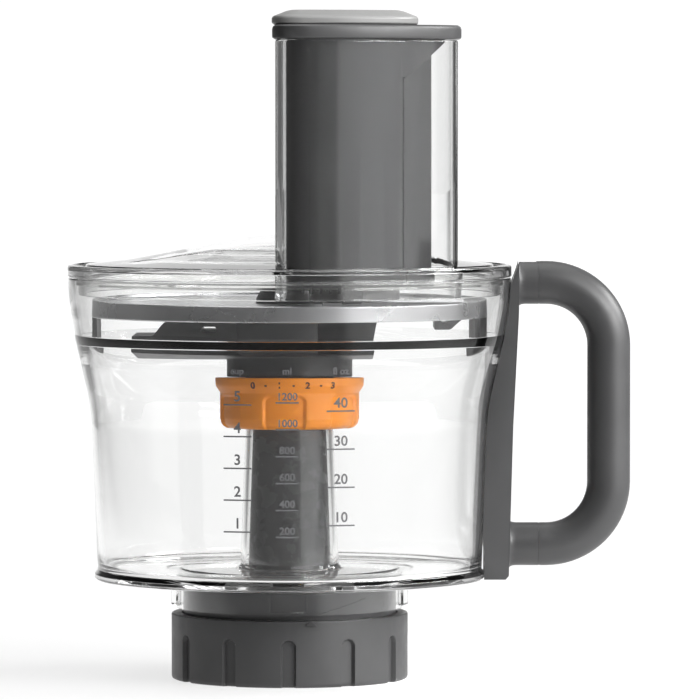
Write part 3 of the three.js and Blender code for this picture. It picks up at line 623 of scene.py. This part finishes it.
def build_drive_shaft():
    foot_r, top_r, shoulder = 17.9, 15.6, 109.0
    profile = rounded([
        (9.0, SHAFT_LOW.z), (foot_r, SHAFT_LOW.z, 0.5), (top_r, shoulder, 0.8), (8.0, shoulder, 0.3),
        (8.0, SHAFT_HIGH.z - 0.2), (0.5, SHAFT_HIGH.z - 0.2), (0.5, 60), (9.0, 60),
    ])
    shaft = lathe("drive_shaft_barrel", profile, even_angles(128))
    # The shaft's paler dark plastic is painted sheen.
    finished(shaft, "drive", DARK_SMOOTH_PAINTED_SHEEN, "dark_plastic", "drive_shaft")


LOBES = 6                       # raised grips round the dial
LOBE_HALF = math.radians(12)
RECESS_DEPTH = 1.3
RECESS_TOP_Z = DIAL_LOW.z + 16.0


def dial_relief(angle, r, z):
    """The dial's outside is sunk between its lobes, under a round-topped edge."""
    if r < DIAL_R - 4.5 or z > RECESS_TOP_Z + 1:
        return 0
    pitch = 2 * math.pi / LOBES
    lobe = math.radians(-90 + 26)
    away = abs(wrapped(angle - lobe - round(wrapped(angle - lobe) / pitch) * pitch))
    half_gap = (pitch / 2 - LOBE_HALF) * DIAL_R
    across = half_gap - (away - LOBE_HALF) * DIAL_R
    corner = 4.0
    over = max(0, z - (RECESS_TOP_Z - corner))
    side = max(0, across - (half_gap - corner))
    from_edge = math.hypot(side, over) - corner
    inside = 1 - smooth_step(-0.9, 0.3, max(from_edge, across - half_gap, z - RECESS_TOP_Z))
    return -RECESS_DEPTH * inside if away > LOBE_HALF else 0


def build_dial():
    low, high = DIAL_LOW.z, DIAL_HIGH.z
    rows = [low + 4.2 + 0.5 * i for i in range(int((RECESS_TOP_Z + 1 - low - 4.2) / 0.5) + 1)]
    corner = rounded([(22, low, 0.6), (DIAL_R - 0.4, low, 4.0), (DIAL_R, low + 8)], 9, closed=False)[:-1]
    lip = rounded([(DIAL_R, high - 6.5, 3), (DIAL_LIP_R - 0.2, high - 3.6, 3), (DIAL_LIP_R, high, 0.5),
                   (HUB_R + 0.6, high, 0.4), (HUB_R + 0.6, high - 1.2), (19.3, high - 1.2)], 5, closed=False)
    profile = corner + [(DIAL_R, z) for z in rows] + lip + [(19.3, 111), (22, 111), (22, low + 0.5)]
    dial = lathe("thickness_dial_body", profile, even_angles(480), dial_relief, 60)
    finished(dial, "dial", ORANGE, "orange_plastic", "thickness_dial")


DIAL_FIGURES = (("0", -28.8), ("1", -7.3), ("2", 14.6), ("3", 36.0))
FIGURE_Z = DIAL_HIGH.z - 3.4


def lip_radius(z):
    """The dial's outside radius near its lip."""
    foot, flare = DIAL_HIGH.z - 6.0, DIAL_HIGH.z - 3.6
    return DIAL_R + (DIAL_LIP_R - 0.2 - DIAL_R) * smooth_step(foot - 1.5, flare + 0.6, z) + 0.12


def build_dial_figures():
    parts = []
    for label, degrees in DIAL_FIGURES:
        parts.append(lettering("figure", label, 3.9, math.radians(degrees) * DIAL_R, FIGURE_Z, 0.12))
    for (_, a), (_, b) in zip(DIAL_FIGURES, DIAL_FIGURES[1:]):
        x = math.radians((a + b) / 2) * DIAL_R
        parts.append(bar("dot", x - 0.45, x + 0.45, FIGURE_Z, 0.8, 0.12))
    figures = joined("dial_figures", parts)
    wrap_front(figures, lip_radius, DIAL_R)
    finished(figures, "dial", DIAL_INK, "orange_plastic")


HUB_TOP_Z = DISC_HIGH.z - 7.1
ARM_Z = HUB_TOP_Z - 10.1         # underside of the swept arm
KNOB_Z = DISC_HIGH.z - 1.9       # foot of the hub's knob, on the disc's upper face


def build_hub():
    top = HUB_TOP_Z
    profile = rounded([
        (8.8, 110), (19, 110, 0.5), (19, DIAL_HIGH.z + GAP), (HUB_R, DIAL_HIGH.z + GAP, 0.6),
        (HUB_R, ARM_Z - 0.8, 1.5), (HUB_R + 3, ARM_Z + 1.2, 2), (HUB_R + 3, top), (8.8, top),
    ])
    hub = lathe("disc_hub_drum", profile, even_angles(128))
    arm = prism("arm", rounded([
        (HUB_LOW.x, ARM_Z, 0.5), (36, ARM_Z, 0.5), (38, top), (-52, top, 2), (-58, ARM_Z + 2.9, 2),
        (HUB_LOW.x, ARM_Z + 2.9, 0.5),
    ]), -20, 20, "y")
    boolean(hub, arm, "UNION")
    room = prism("ramp_room", [(12, -37), (90, -37), (90, 2), (12, 2)], ARM_Z + 0.4, top + 1)
    boolean(hub, room, "DIFFERENCE")
    low, high = ARM_Z + 4.6, ARM_Z + 6.6
    slot = rounded([(-38, low, 0.8), (-30.5, low, 0.8), (-31.5, high, 0.8), (-37, high, 0.8)])
    boolean(hub, prism("slot", slot, -30, 30, "y"), "DIFFERENCE")
    finished(soften(hub, 0.5), "drive", DARK, "dark_plastic", "disc_hub")


def build_knob():
    """The hub's knob on top of the disc, with a dished top."""
    top = KNOB_Z + 10.4
    knob = lathe("disc_knob", rounded([
        (0.05, KNOB_Z), (14.6, KNOB_Z, 0.3), (14.3, KNOB_Z + 2.2, 1.5), (12.6, KNOB_Z + 5.5, 6),
        (11.0, top, 1.2), (7.5, top, 0.6), (6.8, top - 0.8, 0.5), (0.05, top - 0.8),
    ]), even_angles(96))
    finished(knob, "drive", DARK, "dark_plastic")


DISC_RIM_Z = DISC_HIGH.z - 6.7   # lower edge of the rim band


def build_disc():
    """The steel disc: a flat plate with a deep rim and a window ahead of the blade."""
    skirt, rim = DISC_RIM_Z, DISC_HIGH.z
    plate, face = rim - 4.0, rim - 2.0
    profile = rounded([
        (0, DISC_LOW.z + 0.1), (HUB_R, DISC_LOW.z + 0.1, 0.4), (HUB_R, plate, 1.5), (DISC_R - 2.6, plate, 1.5),
        (DISC_R - 1.4, skirt, 0.5), (DISC_R, skirt + 0.1, 0.6), (DISC_R - 0.1, rim, 0.8),
        (DISC_R - 1.6, rim, 0.5), (DISC_R - 2.2, face, 1.2), (0, face),
    ])
    disc = lathe("slicing_disc_plate", profile, even_angles(256))
    window = rounded([(14, -36, 3), (76, -36, 3), (76, 0, 1), (14, 0, 1)])
    boolean(disc, prism("window", window, skirt - 3, rim + 1), "DIFFERENCE")
    front = -DISC_R - 2
    cut = [(-50, front), (-33.5, front), (-33.5, -66), (-50, -66)]
    notch = prism("notch", cut, skirt + 1.6, rim - 1.8)
    core = lathe("core", [(0, skirt), (DISC_R - 0.7, skirt), (DISC_R - 0.7, rim), (0, rim)], even_angles(256))
    boolean(notch, core, "DIFFERENCE")
    boolean(disc, notch, "DIFFERENCE")
    finished(disc, "drive", STEEL, "steel", "slicing_disc")


def build_disc_guards():
    """The two short dark skirts under the disc's rim, at its left and right."""
    for name, middle, half in (("left", math.pi, 8), ("right", 0.0, 19)):
        angles = [middle + math.radians(half * (i / 10 - 1)) for i in range(21)]
        outer, inner = DISC_R - 0.1, DISC_R - 2.1
        outline = [(outer * math.cos(a), outer * math.sin(a)) for a in angles]
        outline += [(inner * math.cos(a), inner * math.sin(a)) for a in reversed(angles)]
        guard = prism(f"disc_guard_{name}", outline, ARM_Z + 0.6, DISC_RIM_Z + 0.3)
        finished(soften(guard, 0.3), "drive", DARK, "dark_plastic")


def build_blade():
    low, high = DISC_HIGH.z - 1.7, DISC_HIGH.z - 0.7
    section = [(-3.2, low), (10, low), (10, high), (-1.2, high)]
    blade = skin("slicing_blade_edge", [[(x, y, z) for y, z in section] for x in (15, 75)], 5)
    finished(soften(blade, 0.12, 2), "drive", BLADE_STEEL, "steel", "slicing_blade")
    dome = rounded([(0.05, high), (1.9, high), (1.7, high + 0.5, 0.3), (0.05, high + 0.65)])
    for k, x in enumerate((24, 45, 66)):
        head = lathe(f"blade_rivet_{k + 1}", dome, even_angles(32))
        head.data.transform(Matrix.Translation((x * MM, 5 * MM, 0)))
        finished(head, "drive", TURNED_STEEL, "steel")


def build_ramp():
    x0, x1, y0, y1 = 14.5, 75.5, -35.5, -0.5
    under = DISC_HIGH.z - 4.0
    outline = rounded([(x0, y0, 2), (x1, y0, 2), (x1, y1, 1), (x0, y1, 1)])
    table = prism("ramp_table", outline, under - 1.0, under + 1.9)
    foot = prism("foot", rounded([
        (x1 - 14, under - 7.4, 0.6), (x1 - 7, under - 7.4, 3), (x1, under - 0.5), (x1 - 4, under),
        (x1 - 8.5, under - 4.4, 2), (x1 - 11, under - 4.4, 0.5), (x1 - 11, under), (x1 - 14, under),
    ]), y0 + 6, y1 - 6, "y")
    boolean(table, foot, "UNION")
    finished(soften(table, 0.35), "ramp", DARK, "dark_plastic", "ramp_plate")


# ---- Lid -----------------------------------------------------------------------------------

Outline = namedtuple("Outline", "left right back front_r corner")

FEED = Outline(-5.4, 71.8, -12.0, 86.0, 15.0)
PUSHER = Outline(-1.3, 59.8, -17.0, 82.4, 13.0)
FLANGE = Outline(-6.6, 73.2, -11.0, 87.4, 14.0)
CUP = Outline(9.0, 46.0, -26.0, 72.0, 11.0)
CAP = Outline(-6.8, 54.8, -14.0, 80.0, 12.0)
FEED_SKIRT_Z = 162.2
FACET_X = 47.7                                  # where the main pusher's front ends in a flat facet
FACET_BACK_Y = -46.0


def feed_outline(sizes, inset=0.0, facet_x=None):
    """The feed tube's outline: straight sides and back, and a front round the drive axis.

    With facet_x, the right front corner is a flat facet that leaves the front there.
    """
    left, right, back, front_r, corner = sizes
    left, right, back, front_r = left + inset, right - inset, back - inset, front_r - inset
    corner = max(1.5, corner - inset)
    left_y = -math.sqrt(front_r ** 2 - left ** 2)
    right_y = -math.sqrt(front_r ** 2 - right ** 2)
    if facet_x:
        start = -math.acos(facet_x / front_r)
    else:
        start = math.atan2(right_y, right) - corner / front_r
    end = math.atan2(left_y, left) + corner / front_r
    arc = [start + (end - start) * i / 24 for i in range(25)]
    front = [(front_r * math.cos(a), front_r * math.sin(a)) for a in arc]
    right_corner = bend((right, right_y + corner * 0.6), (right, right_y), front[0])
    if facet_x:
        turn = (right, FACET_BACK_Y)
        right_corner = bend((right, FACET_BACK_Y + 2), turn, (right - 0.9, FACET_BACK_Y - 1.6)) + [front[0]]
    return (
        bend((right - corner, back), (right, back), (right, back - corner))
        + right_corner
        + front[1:-1]
        + bend(front[-1], (left, left_y), (left, left_y + corner))
        + bend((left, back - corner), (left, back), (left + corner, back))
    )


def bend(start, corner, end, steps=9):
    """A smooth curve that leaves start and reaches end along the lines to the corner."""
    points = []
    for i in range(steps + 1):
        t = i / steps
        points.append(tuple((1 - t) ** 2 * a + 2 * t * (1 - t) * b + t ** 2 * c
                            for a, b, c in zip(start, corner, end)))
    return points


CHANNEL_FRONT_Y = -30.0
CHANNEL_BACK_Y = 44.0


def channel(name, inset):
    """The raised channel that runs across the lid, left of the tube and behind it."""
    low = LID_RIM_TOP_Z - 3
    outline = rounded([
        (-78 + 3 * inset, low), (20, low), (20, CHANNEL_TOP_Z - inset), (-7, CHANNEL_TOP_Z - inset, 12),
        (-17, 186.2 - inset, 12), (-32, 183.6 - inset, 30), (-45, 180.8 - inset, 30), (-61, 177.9 - inset, 30),
        (-78 + 3 * inset, 175.4 - inset, 1),
    ])
    return prism(name, outline, CHANNEL_FRONT_Y + inset, CHANNEL_BACK_Y - inset, "y")


def build_lid():
    plug, rim, top = LID_LOW.z, LID_RIM_Z, LID_RIM_TOP_Z
    outer = rounded([
        (0, plug), (PLUG_R, plug, 0.5), (PLUG_R, rim, 0.4), (LID_R, rim, 0.7), (LID_R, top - 0.2, 0.9),
        (LID_R - 2.2, top, 0.5), (LID_R - 2.8, top - 1.0, 0.4), (88, top - 1.0, 0.4), (87.4, top + 0.2, 0.5),
        (68, 177.5, 60), (52, 180.6, 40), (44, LID_CROWN_Z, 12), (0, LID_CROWN_Z),
    ])
    shell = lathe("lid_shell", outer, even_angles(256), sharp=50)
    boolean(shell, channel("channel_outside", 0), "UNION", 50)
    inner_r = PLUG_R - LID_WALL
    inner = rounded([
        (0, plug - 1), (inner_r, plug - 1), (inner_r, 173.2, 0.6), (68, 175.2, 60), (52, 178.1, 40),
        (43, LID_CROWN_Z - LID_WALL, 12), (0, LID_CROWN_Z - LID_WALL),
    ])
    boolean(shell, lathe("lid_hollow", inner, even_angles(256)), "DIFFERENCE", 50)
    boolean(shell, channel("channel_inside", LID_WALL), "DIFFERENCE", 50)
    layers = [(0, FEED_SKIRT_Z), (0, FEED_TOP_Z - 0.9), (0.2, FEED_TOP_Z - 0.3), (0.6, FEED_TOP_Z - 0.1)]
    boolean(shell, stacked("tube", [(feed_outline(FEED, inset), z) for inset, z in layers]), "UNION", 50)
    bore = prism("bore", feed_outline(FEED, LID_WALL), FEED_SKIRT_Z - 1, FEED_TOP_Z + 1)
    boolean(shell, bore, "DIFFERENCE", 50)
    tab = prism("tab", rounded([
        (93, rim), (BOWL_RIM_R + 1, rim), (BOWL_RIM_R + 1, 168.3, 0.4), (LID_HIGH.x, 168.3, 0.8),
        (LID_HIGH.x, top - 1.2, 1.2), (93, top - 1.2),
    ]), -4, 4, "y")
    boolean(shell, tab, "UNION", 50)
    finished(shell, "lid", CLEAR, "clear_plastic", "lid")


def build_seal():
    low, high = SEAL_LOW.z, SEAL_HIGH.z
    inner, outer = PLUG_R + 0.25, 92.05
    profile = rounded([
        (inner, low), (outer, low, 0.35), (outer - 0.3, (low + high) / 2, 0.4), (outer, high, 0.35),
        (inner, high),
    ])
    finished(lathe("lid_seal_ring", profile, even_angles(256)), "seal", SILICONE, "rubber", "lid_seal")


# ---- Pushers -------------------------------------------------------------------------------

def pusher_web(top):
    """The curved web under the flange, which carries on the pusher's front past its facet."""
    outer, inner = PUSHER.front_r, PUSHER.front_r - 2.0
    left, right = FACET_X - 0.8, 66.0
    sections = []
    for i in range(17):
        along = i / 16
        angle = -math.acos((left + (right - left) * along) / outer)
        low = FLANGE_Z - 17.5 + 17.2 * along ** 1.15
        corners = ((outer, low), (outer, top), (inner, top), (inner, low))
        sections.append([(r * math.cos(angle), r * math.sin(angle), z) for r, z in corners])
    return skin("web", sections)


def foot_rooms(bottom):
    """The openings between the main pusher's feet, the left one with a comb of short ribs."""
    comb = [(-3, bottom - 1), (22.6, bottom - 1), (22.6, bottom + 6.4)]
    for k in range(5):
        x = 21.6 - 3.7 * k
        comb += [(x, bottom + 6.4), (x, bottom + 4.6), (x - 1.2, bottom + 4.6), (x - 1.2, bottom + 6.4)]
    comb.append((-3, bottom + 6.4))
    slope = [(30.5, bottom - 1), (61, bottom - 1), (61, bottom + 8.8), (30.5, bottom + 6.4)]
    return [prism("room", outline, -90, 0, "y") for outline in (comb, slope)]


def build_main_pusher():
    bottom, top = PUSHER_LOW.z, PUSHER_HIGH.z
    layers = [(1.6, bottom), (0.7, bottom + 0.3), (0.15, bottom + 0.9), (0, bottom + 1.7), (0, FLANGE_Z + 1)]
    body = stacked("main_pusher_body", [(feed_outline(PUSHER, inset, FACET_X), z) for inset, z in layers])
    boolean(body, pusher_web(FLANGE_Z + 1), "UNION")
    layers = [(0.8, FLANGE_Z), (0.15, FLANGE_Z + 0.4), (0, FLANGE_Z + 1.2), (0, top - 1.8), (0.4, top - 0.7),
              (1.5, top)]
    boolean(body, stacked("flange", [(feed_outline(FLANGE, inset), z) for inset, z in layers]), "UNION")
    facet_y = -math.sqrt(PUSHER.front_r ** 2 - FACET_X ** 2)
    bit = [(FACET_X + 0.9 * math.cos(a), facet_y + 0.9 * math.sin(a)) for a in even_angles(16)]
    boolean(body, prism("groove", bit, bottom + 4, FLANGE_Z - 16), "DIFFERENCE")
    boolean(body, prism("well", feed_outline(CUP, -GAP), bottom - 1, top + 1), "DIFFERENCE")
    for room in foot_rooms(bottom):
        boolean(body, room, "DIFFERENCE")
    finished(soften(body, 0.3), "large_pusher", DARK, "dark_plastic", "main_pusher")


def build_small_pusher():
    bottom, top = SMALL_LOW.z, SMALL_HIGH.z
    layers = [(1.2, bottom), (0.3, bottom + 0.5), (0, bottom + 1.4), (0, top)]
    body = stacked("small_pusher_body", [(feed_outline(CUP, inset), z) for inset, z in layers])
    boolean(body, prism("inside", feed_outline(CUP, 2.2), bottom + 2.6, top + 1), "DIFFERENCE")
    finished(soften(body, 0.3), "inner_pusher", PALE_GREY, "light_grey_plastic", "small_pusher")


def build_cap():
    """The small pusher's pale cap: a plate with broad sloping edges."""
    low, top = FLANGE_Z + 6.2, CAP_HIGH.z
    layers = [(0.5, low), (0, low + 0.5), (0, top - 3.5), (0.6, top - 2.7), (6.0, top - 0.6), (8.2, top - 0.1),
              (10, top)]
    cap = stacked("pusher_cap_plate", [(feed_outline(CAP, inset), z) for inset, z in layers])
    plug = prism("plug", feed_outline(CUP, 2.6), CAP_LOW.z, low + 1)
    boolean(cap, plug, "UNION")
    finished(soften(cap, 0.35), "inner_pusher", PALE_GREY, "light_grey_plastic", "pusher_cap")


# ---- Handle --------------------------------------------------------------------------------

HANDLE_ROOT_X = 107.0
SEAM = 0.12                     # half the gap between the two halves of the grip
SCREW_X = 112.5


def grip_line(arc_steps=20):
    """Points along the grip's centre: out along the top leg, down, and back along the bottom leg."""
    bend_x = GRIP_X - BEND_R
    top = [(HANDLE_ROOT_X, TOP_LEG_Z), (HANDLE_ROOT_X + 1, TOP_LEG_Z)]
    upper = [(bend_x + BEND_R * math.sin(a), TOP_LEG_Z - BEND_R * (1 - math.cos(a)))
             for a in (math.pi / 2 * i / arc_steps for i in range(arc_steps + 1))]
    drop = [(GRIP_X, upper[-1][1] + (BOTTOM_LEG_Z + BEND_R - upper[-1][1]) * i / 12) for i in range(1, 12)]
    lower = [(x, TOP_LEG_Z + BOTTOM_LEG_Z - z) for x, z in reversed(upper)]
    bottom = [(HANDLE_ROOT_X + 1, BOTTOM_LEG_Z), (HANDLE_ROOT_X, BOTTOM_LEG_Z)]
    return top + upper + drop + lower + bottom


def build_grip(name, side):
    """One half of the loop; `side` is -1 for the front half and +1 for the back half."""
    centres = grip_line()
    section = [(HANDLE_R * math.cos(a), side * max(SEAM, HANDLE_R * math.sin(a)))
               for a in (math.pi * i / 28 for i in range(29))]
    sections = []
    for i, (x, z) in enumerate(centres):
        x0, z0 = centres[max(0, i - 1)]
        x1, z1 = centres[min(len(centres) - 1, i + 1)]
        along = Vector((x1 - x0, z1 - z0)).normalized()
        at_end = i in (0, len(centres) - 1)
        shrink = 0.99 if at_end else 1.0
        sections.append([(x - along.y * out * shrink, y * shrink, z + along.x * out * shrink)
                         for out, y in section])
    grip = skin(name, sections, 50)
    for z in (TOP_LEG_Z, BOTTOM_LEG_Z):
        boolean(grip, drilled(1.5, SCREW_X, z, -6, 6.5), "DIFFERENCE", 50)
        boolean(grip, drilled(3.3, SCREW_X, z, 6, 20), "DIFFERENCE", 50)
    return grip


def drilled(radius, x, z, y0, y1):
    """A round bar along Y, used as a drill."""
    outline = [(x + radius * math.cos(a), z + radius * math.sin(a)) for a in even_angles(32)]
    return prism("drill", outline, y0, y1, "y")


def build_handle():
    finished(build_grip("handle_front_grip", -1), "bowl", DARK, "dark_plastic", "handle_front")
    finished(build_grip("handle_back_grip", 1), "bowl", DARK, "dark_plastic", "handle_back")


def build_spine():
    """The upright between bowl and grip, hollowed to fit round the bowl and the lid's tab."""
    foot, top = SPINE_LOW.z, SPINE_HIGH.z
    half = SPINE_HIGH.y
    upright = prism("spine", rounded([
        (70, foot), (92.8, foot, 0.6), (94.2, foot + 1.6, 1.0), (96, 105, 200), (98.5, 155, 120),
        (98.5, top - 0.1, 0.8), (70, top - 0.1),
    ], 8), -half, half, "y", 50)
    for z, face in ((TOP_LEG_Z, 98.3), (BOTTOM_LEG_Z, 94.4)):
        fillet = bend((HANDLE_R + 1.6, face), (HANDLE_R, face), (HANDLE_R, face + 3.4), 8)
        profile = [(0, 90), (HANDLE_R + 1.6, 90)] + fillet
        profile += [(HANDLE_R, HANDLE_ROOT_X - 0.06), (0, HANDLE_ROOT_X - 0.06)]
        stub = lathe("stub", profile, even_angles(64))
        stub.data.transform(Matrix.Translation((0, 0, z * MM)) @ Matrix.Rotation(math.pi / 2, 4, "Y"))
        boolean(upright, stub, "UNION", 50)
    shelf = prism("shelf", [(60, top - 0.1), (130, top - 0.1), (130, top + 30), (60, top + 30)], -30, 30, "y")
    boolean(upright, shelf, "DIFFERENCE", 50)
    room = [(0, foot - 10), (BOWL_FOOT_R + GAP, foot - 10), (BOWL_FOOT_R + GAP, 52)]
    room += [(side_radius(z) + GAP, z) for z in (60, 78, 104, 117, 125, 132, 143, 150, 157, 164)]
    room += [(BOWL_RIM_R + GAP, 166), (98.9, top - 1.2), (98.9, top + 10), (0, top + 10)]
    boolean(upright, lathe("bowl_room", room, even_angles(256)), "DIFFERENCE", 50)
    notch = prism("tab_room", [(90, -4.6), (106.2, -4.6), (106.2, 14), (90, 14)], top - 0.5, top + 10)
    boolean(upright, notch, "DIFFERENCE", 50)
    finished(soften(upright, 0.5), "bowl", DARK, "dark_plastic", "handle_spine")


# ---- Parts carried over from the CAD ---------------------------------------------------------

def carried(node, material, bevel=0.15):
    """A CAD node shown as it is, with a finish and fine rounded edges."""
    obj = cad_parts[node]
    obj.data.materials.clear()
    obj.data.materials.append(material)
    soften(obj, bevel, 2, 40)


def finish_mechanism():
    for node in ("sun_gear", "ring_gear"):
        carried(node, ACETAL, 0.08)
    for k in (1, 2, 3):
        carried(f"planet_gear_{k}", ACETAL, 0.08)
        carried(f"planet_pin_{k}", TURNED_STEEL)
        carried(f"cover_screw_{k}", TURNED_STEEL, 0.1)
    for node in ("input_bush", "output_bush"):
        carried(node, BRONZE)
    for node in ("input_dog", "output_spindle", "planet_carrier", "interlock_rod"):
        carried(node, TURNED_STEEL)
    for node in ("handle_screw_1", "handle_screw_2"):
        carried(node, TURNED_STEEL, 0.1)
    carried("gearbox_cover", DARK, 0.3)
    carried("interlock_spring", BLADE_STEEL, 0.02)


# ---- Stage, light and camera ---------------------------------------------------------------

CAMERA_PLACE = (0.026, -2.7, 0.250)
CAMERA_PITCH = math.radians(90 - 2.37)
CAMERA_LENS = 322.9
SKY_GREY = 0.3
ROOM_GREY = 0.12


def build_floor():
    """A pale floor that reads white behind and to the right, greyer in front to spare the clear parts glare.
    Its base colour is painted paler to the right, under the white panel. It glows with painted light near and
    behind the object, in the strip the camera looks along, which also fades its cast shadows.
    """
    half, front, back = 8.0, -1.3, 12.0
    z = COLLAR_LOW.z * MM
    data = bpy.data.meshes.new("floor")
    corners = [(-half, front, z), (half, front, z), (half, back, z), (-half, back, z)]
    data.from_pydata(corners, [], [(0, 1, 2, 3)])
    floor = bpy.data.objects.new("floor", data)
    bpy.context.collection.objects.link(floor)
    nodes = Nodes("floor_with_painted_glow", Roughness=0.7, Specular_IOR_Level=0.1)
    place = nodes.add("ShaderNodeSeparateXYZ", {"Vector": nodes.place()}).outputs

    def calculate(operation, first, second=0.0):
        return nodes.add("ShaderNodeMath", {0: first, 1: second}, operation=operation).outputs[0]

    azimuth = calculate("ARCTAN2", place["X"], calculate("MULTIPLY", place["Y"], -1.0))
    right = calculate("MULTIPLY", nodes.spread(azimuth, 0, 1, math.radians(26), math.radians(32)),
                      nodes.spread(azimuth, 1, 0, math.radians(90), math.radians(110)))
    # Painted light: the base colour is painted paler to the right, where the world's white panel is, and
    # greyer elsewhere.
    nodes.drive("Base Color", nodes.ramp(right, (0.2, 0.2, 0.2), (0.45, 0.45, 0.45)))
    # Painted glow: the floor shines with its own light, strongly near and behind the object and rising far
    # behind it, so that it reads white and cast shadows fade.
    near = nodes.spread(place["Y"], 0.05, 0.74, -0.28, -0.11)
    far = nodes.spread(place["Y"], 0.0, 0.3, 0.6, 3.2)
    reach = calculate("ADD", place["Y"], 2.7)
    aside = calculate("DIVIDE", calculate("ABSOLUTE", place["X"]), reach)
    # The painted glow is kept to the strip that the camera looks along; outside that strip the floor shines
    # far less.
    painted_glow_in_view = nodes.spread(aside, 1.0, 0.2, 0.115, 0.23)
    nodes.shader.inputs["Emission Color"].default_value = (1, 1, 1, 1)
    nodes.drive("Emission Strength", calculate("MULTIPLY", calculate("ADD", near, far), painted_glow_in_view))
    data.materials.append(nodes.material)


def area_light(name, place, target, size, power, height=None):
    light = bpy.data.lights.new(name, "AREA")
    light.shape = "RECTANGLE"
    light.size = size
    light.size_y = height or size
    light.energy = power
    obj = bpy.data.objects.new(name, light)
    obj.location = place
    obj.rotation_euler = (Vector(target) - Vector(place)).to_track_quat("-Z", "Y").to_euler()
    bpy.context.collection.objects.link(obj)


def build_world():
    """A room with a white wall behind, a white panel to the right front, and grey elsewhere."""
    world = bpy.data.worlds.new("white_room")
    bpy.context.scene.world = world
    world.use_nodes = True
    tree = world.node_tree
    direction = tree.nodes.new("ShaderNodeTexCoord").outputs["Generated"]
    split = tree.nodes.new("ShaderNodeSeparateXYZ")
    tree.links.new(direction, split.inputs[0])

    def spread(value, start, end, low, high):
        node = tree.nodes.new("ShaderNodeMapRange")
        node.interpolation_type = "SMOOTHSTEP"
        for socket, number in zip(("From Min", "From Max", "To Min", "To Max"), (start, end, low, high)):
            node.inputs[socket].default_value = number
        tree.links.new(value, node.inputs["Value"])
        return node.outputs["Result"]

    def math_node(operation, first, second):
        node = tree.nodes.new("ShaderNodeMath")
        node.operation = operation
        for socket, value in zip(node.inputs, (first, second)):
            if isinstance(value, bpy.types.NodeSocket):
                tree.links.new(value, socket)
            else:
                socket.default_value = value
        return node.outputs[0]

    overhead = spread(split.outputs["Z"], 0.2, 0.6, 1.0, SKY_GREY)
    forwards = math_node("MULTIPLY", split.outputs["Y"], -1.0)
    azimuth = math_node("ARCTAN2", split.outputs["X"], forwards)
    panel_start = spread(azimuth, math.radians(26), math.radians(31), ROOM_GREY, 0.9)
    panel_end = spread(azimuth, math.radians(88), math.radians(104), 1.0, ROOM_GREY)
    panel = math_node("MULTIPLY", panel_start, panel_end)
    away = math_node("ABSOLUTE", azimuth, 0.0)
    wall = spread(away, math.radians(157), math.radians(167), ROOM_GREY, 1.05)
    strength = math_node("MULTIPLY", overhead, math_node("MAXIMUM", panel, wall))
    tree.links.new(strength, tree.nodes["Background"].inputs["Strength"])
    tree.nodes["Background"].inputs["Color"].default_value = (1, 1, 1, 1)


def build_light():
    middle = (0, 0, 0.12)
    area_light("key_low", (2.1, -1.5, 1.05), middle, 1.7, 86, 0.6)
    area_light("key_high", (1.3, -1.7, 2.1), middle, 2.2, 30, 1.6)
    area_light("rim_right", (1.9, 0.3, 1.2), middle, 1.2, 48, 0.7)
    area_light("top", (0.0, 0.2, 1.7), middle, 1.6, 15)


def build_camera():
    camera = bpy.data.cameras.new("camera")
    camera.lens = CAMERA_LENS
    camera.sensor_width = 36
    camera.clip_start = 0.05
    camera.clip_end = 50
    obj = bpy.data.objects.new("camera", camera)
    obj.location = CAMERA_PLACE
    obj.rotation_euler = (CAMERA_PITCH, 0, 0)
    bpy.context.collection.objects.link(obj)
    bpy.context.scene.camera = obj


def set_view():
    """True colours, and enough bounces for light to pass the nested clear walls."""
    scene = bpy.context.scene
    scene.view_settings.view_transform = "Standard"
    scene.view_settings.look = "None"
    scene.cycles.max_bounces = 28
    scene.cycles.transmission_bounces = 24
    scene.cycles.glossy_bounces = 8


# ---- The whole object ----------------------------------------------------------------------

build_collar()
build_pointer()
build_housing()
build_bowl()
build_neck()
build_scale()
build_drive_shaft()
build_dial()
build_dial_figures()
build_hub()
build_knob()
build_disc()
build_disc_guards()
build_blade()
build_ramp()
build_lid()
build_seal()
build_main_pusher()
build_small_pusher()
build_cap()
build_handle()
build_spine()
finish_mechanism()
build_floor()
build_world()
build_light()
build_camera()
set_view()
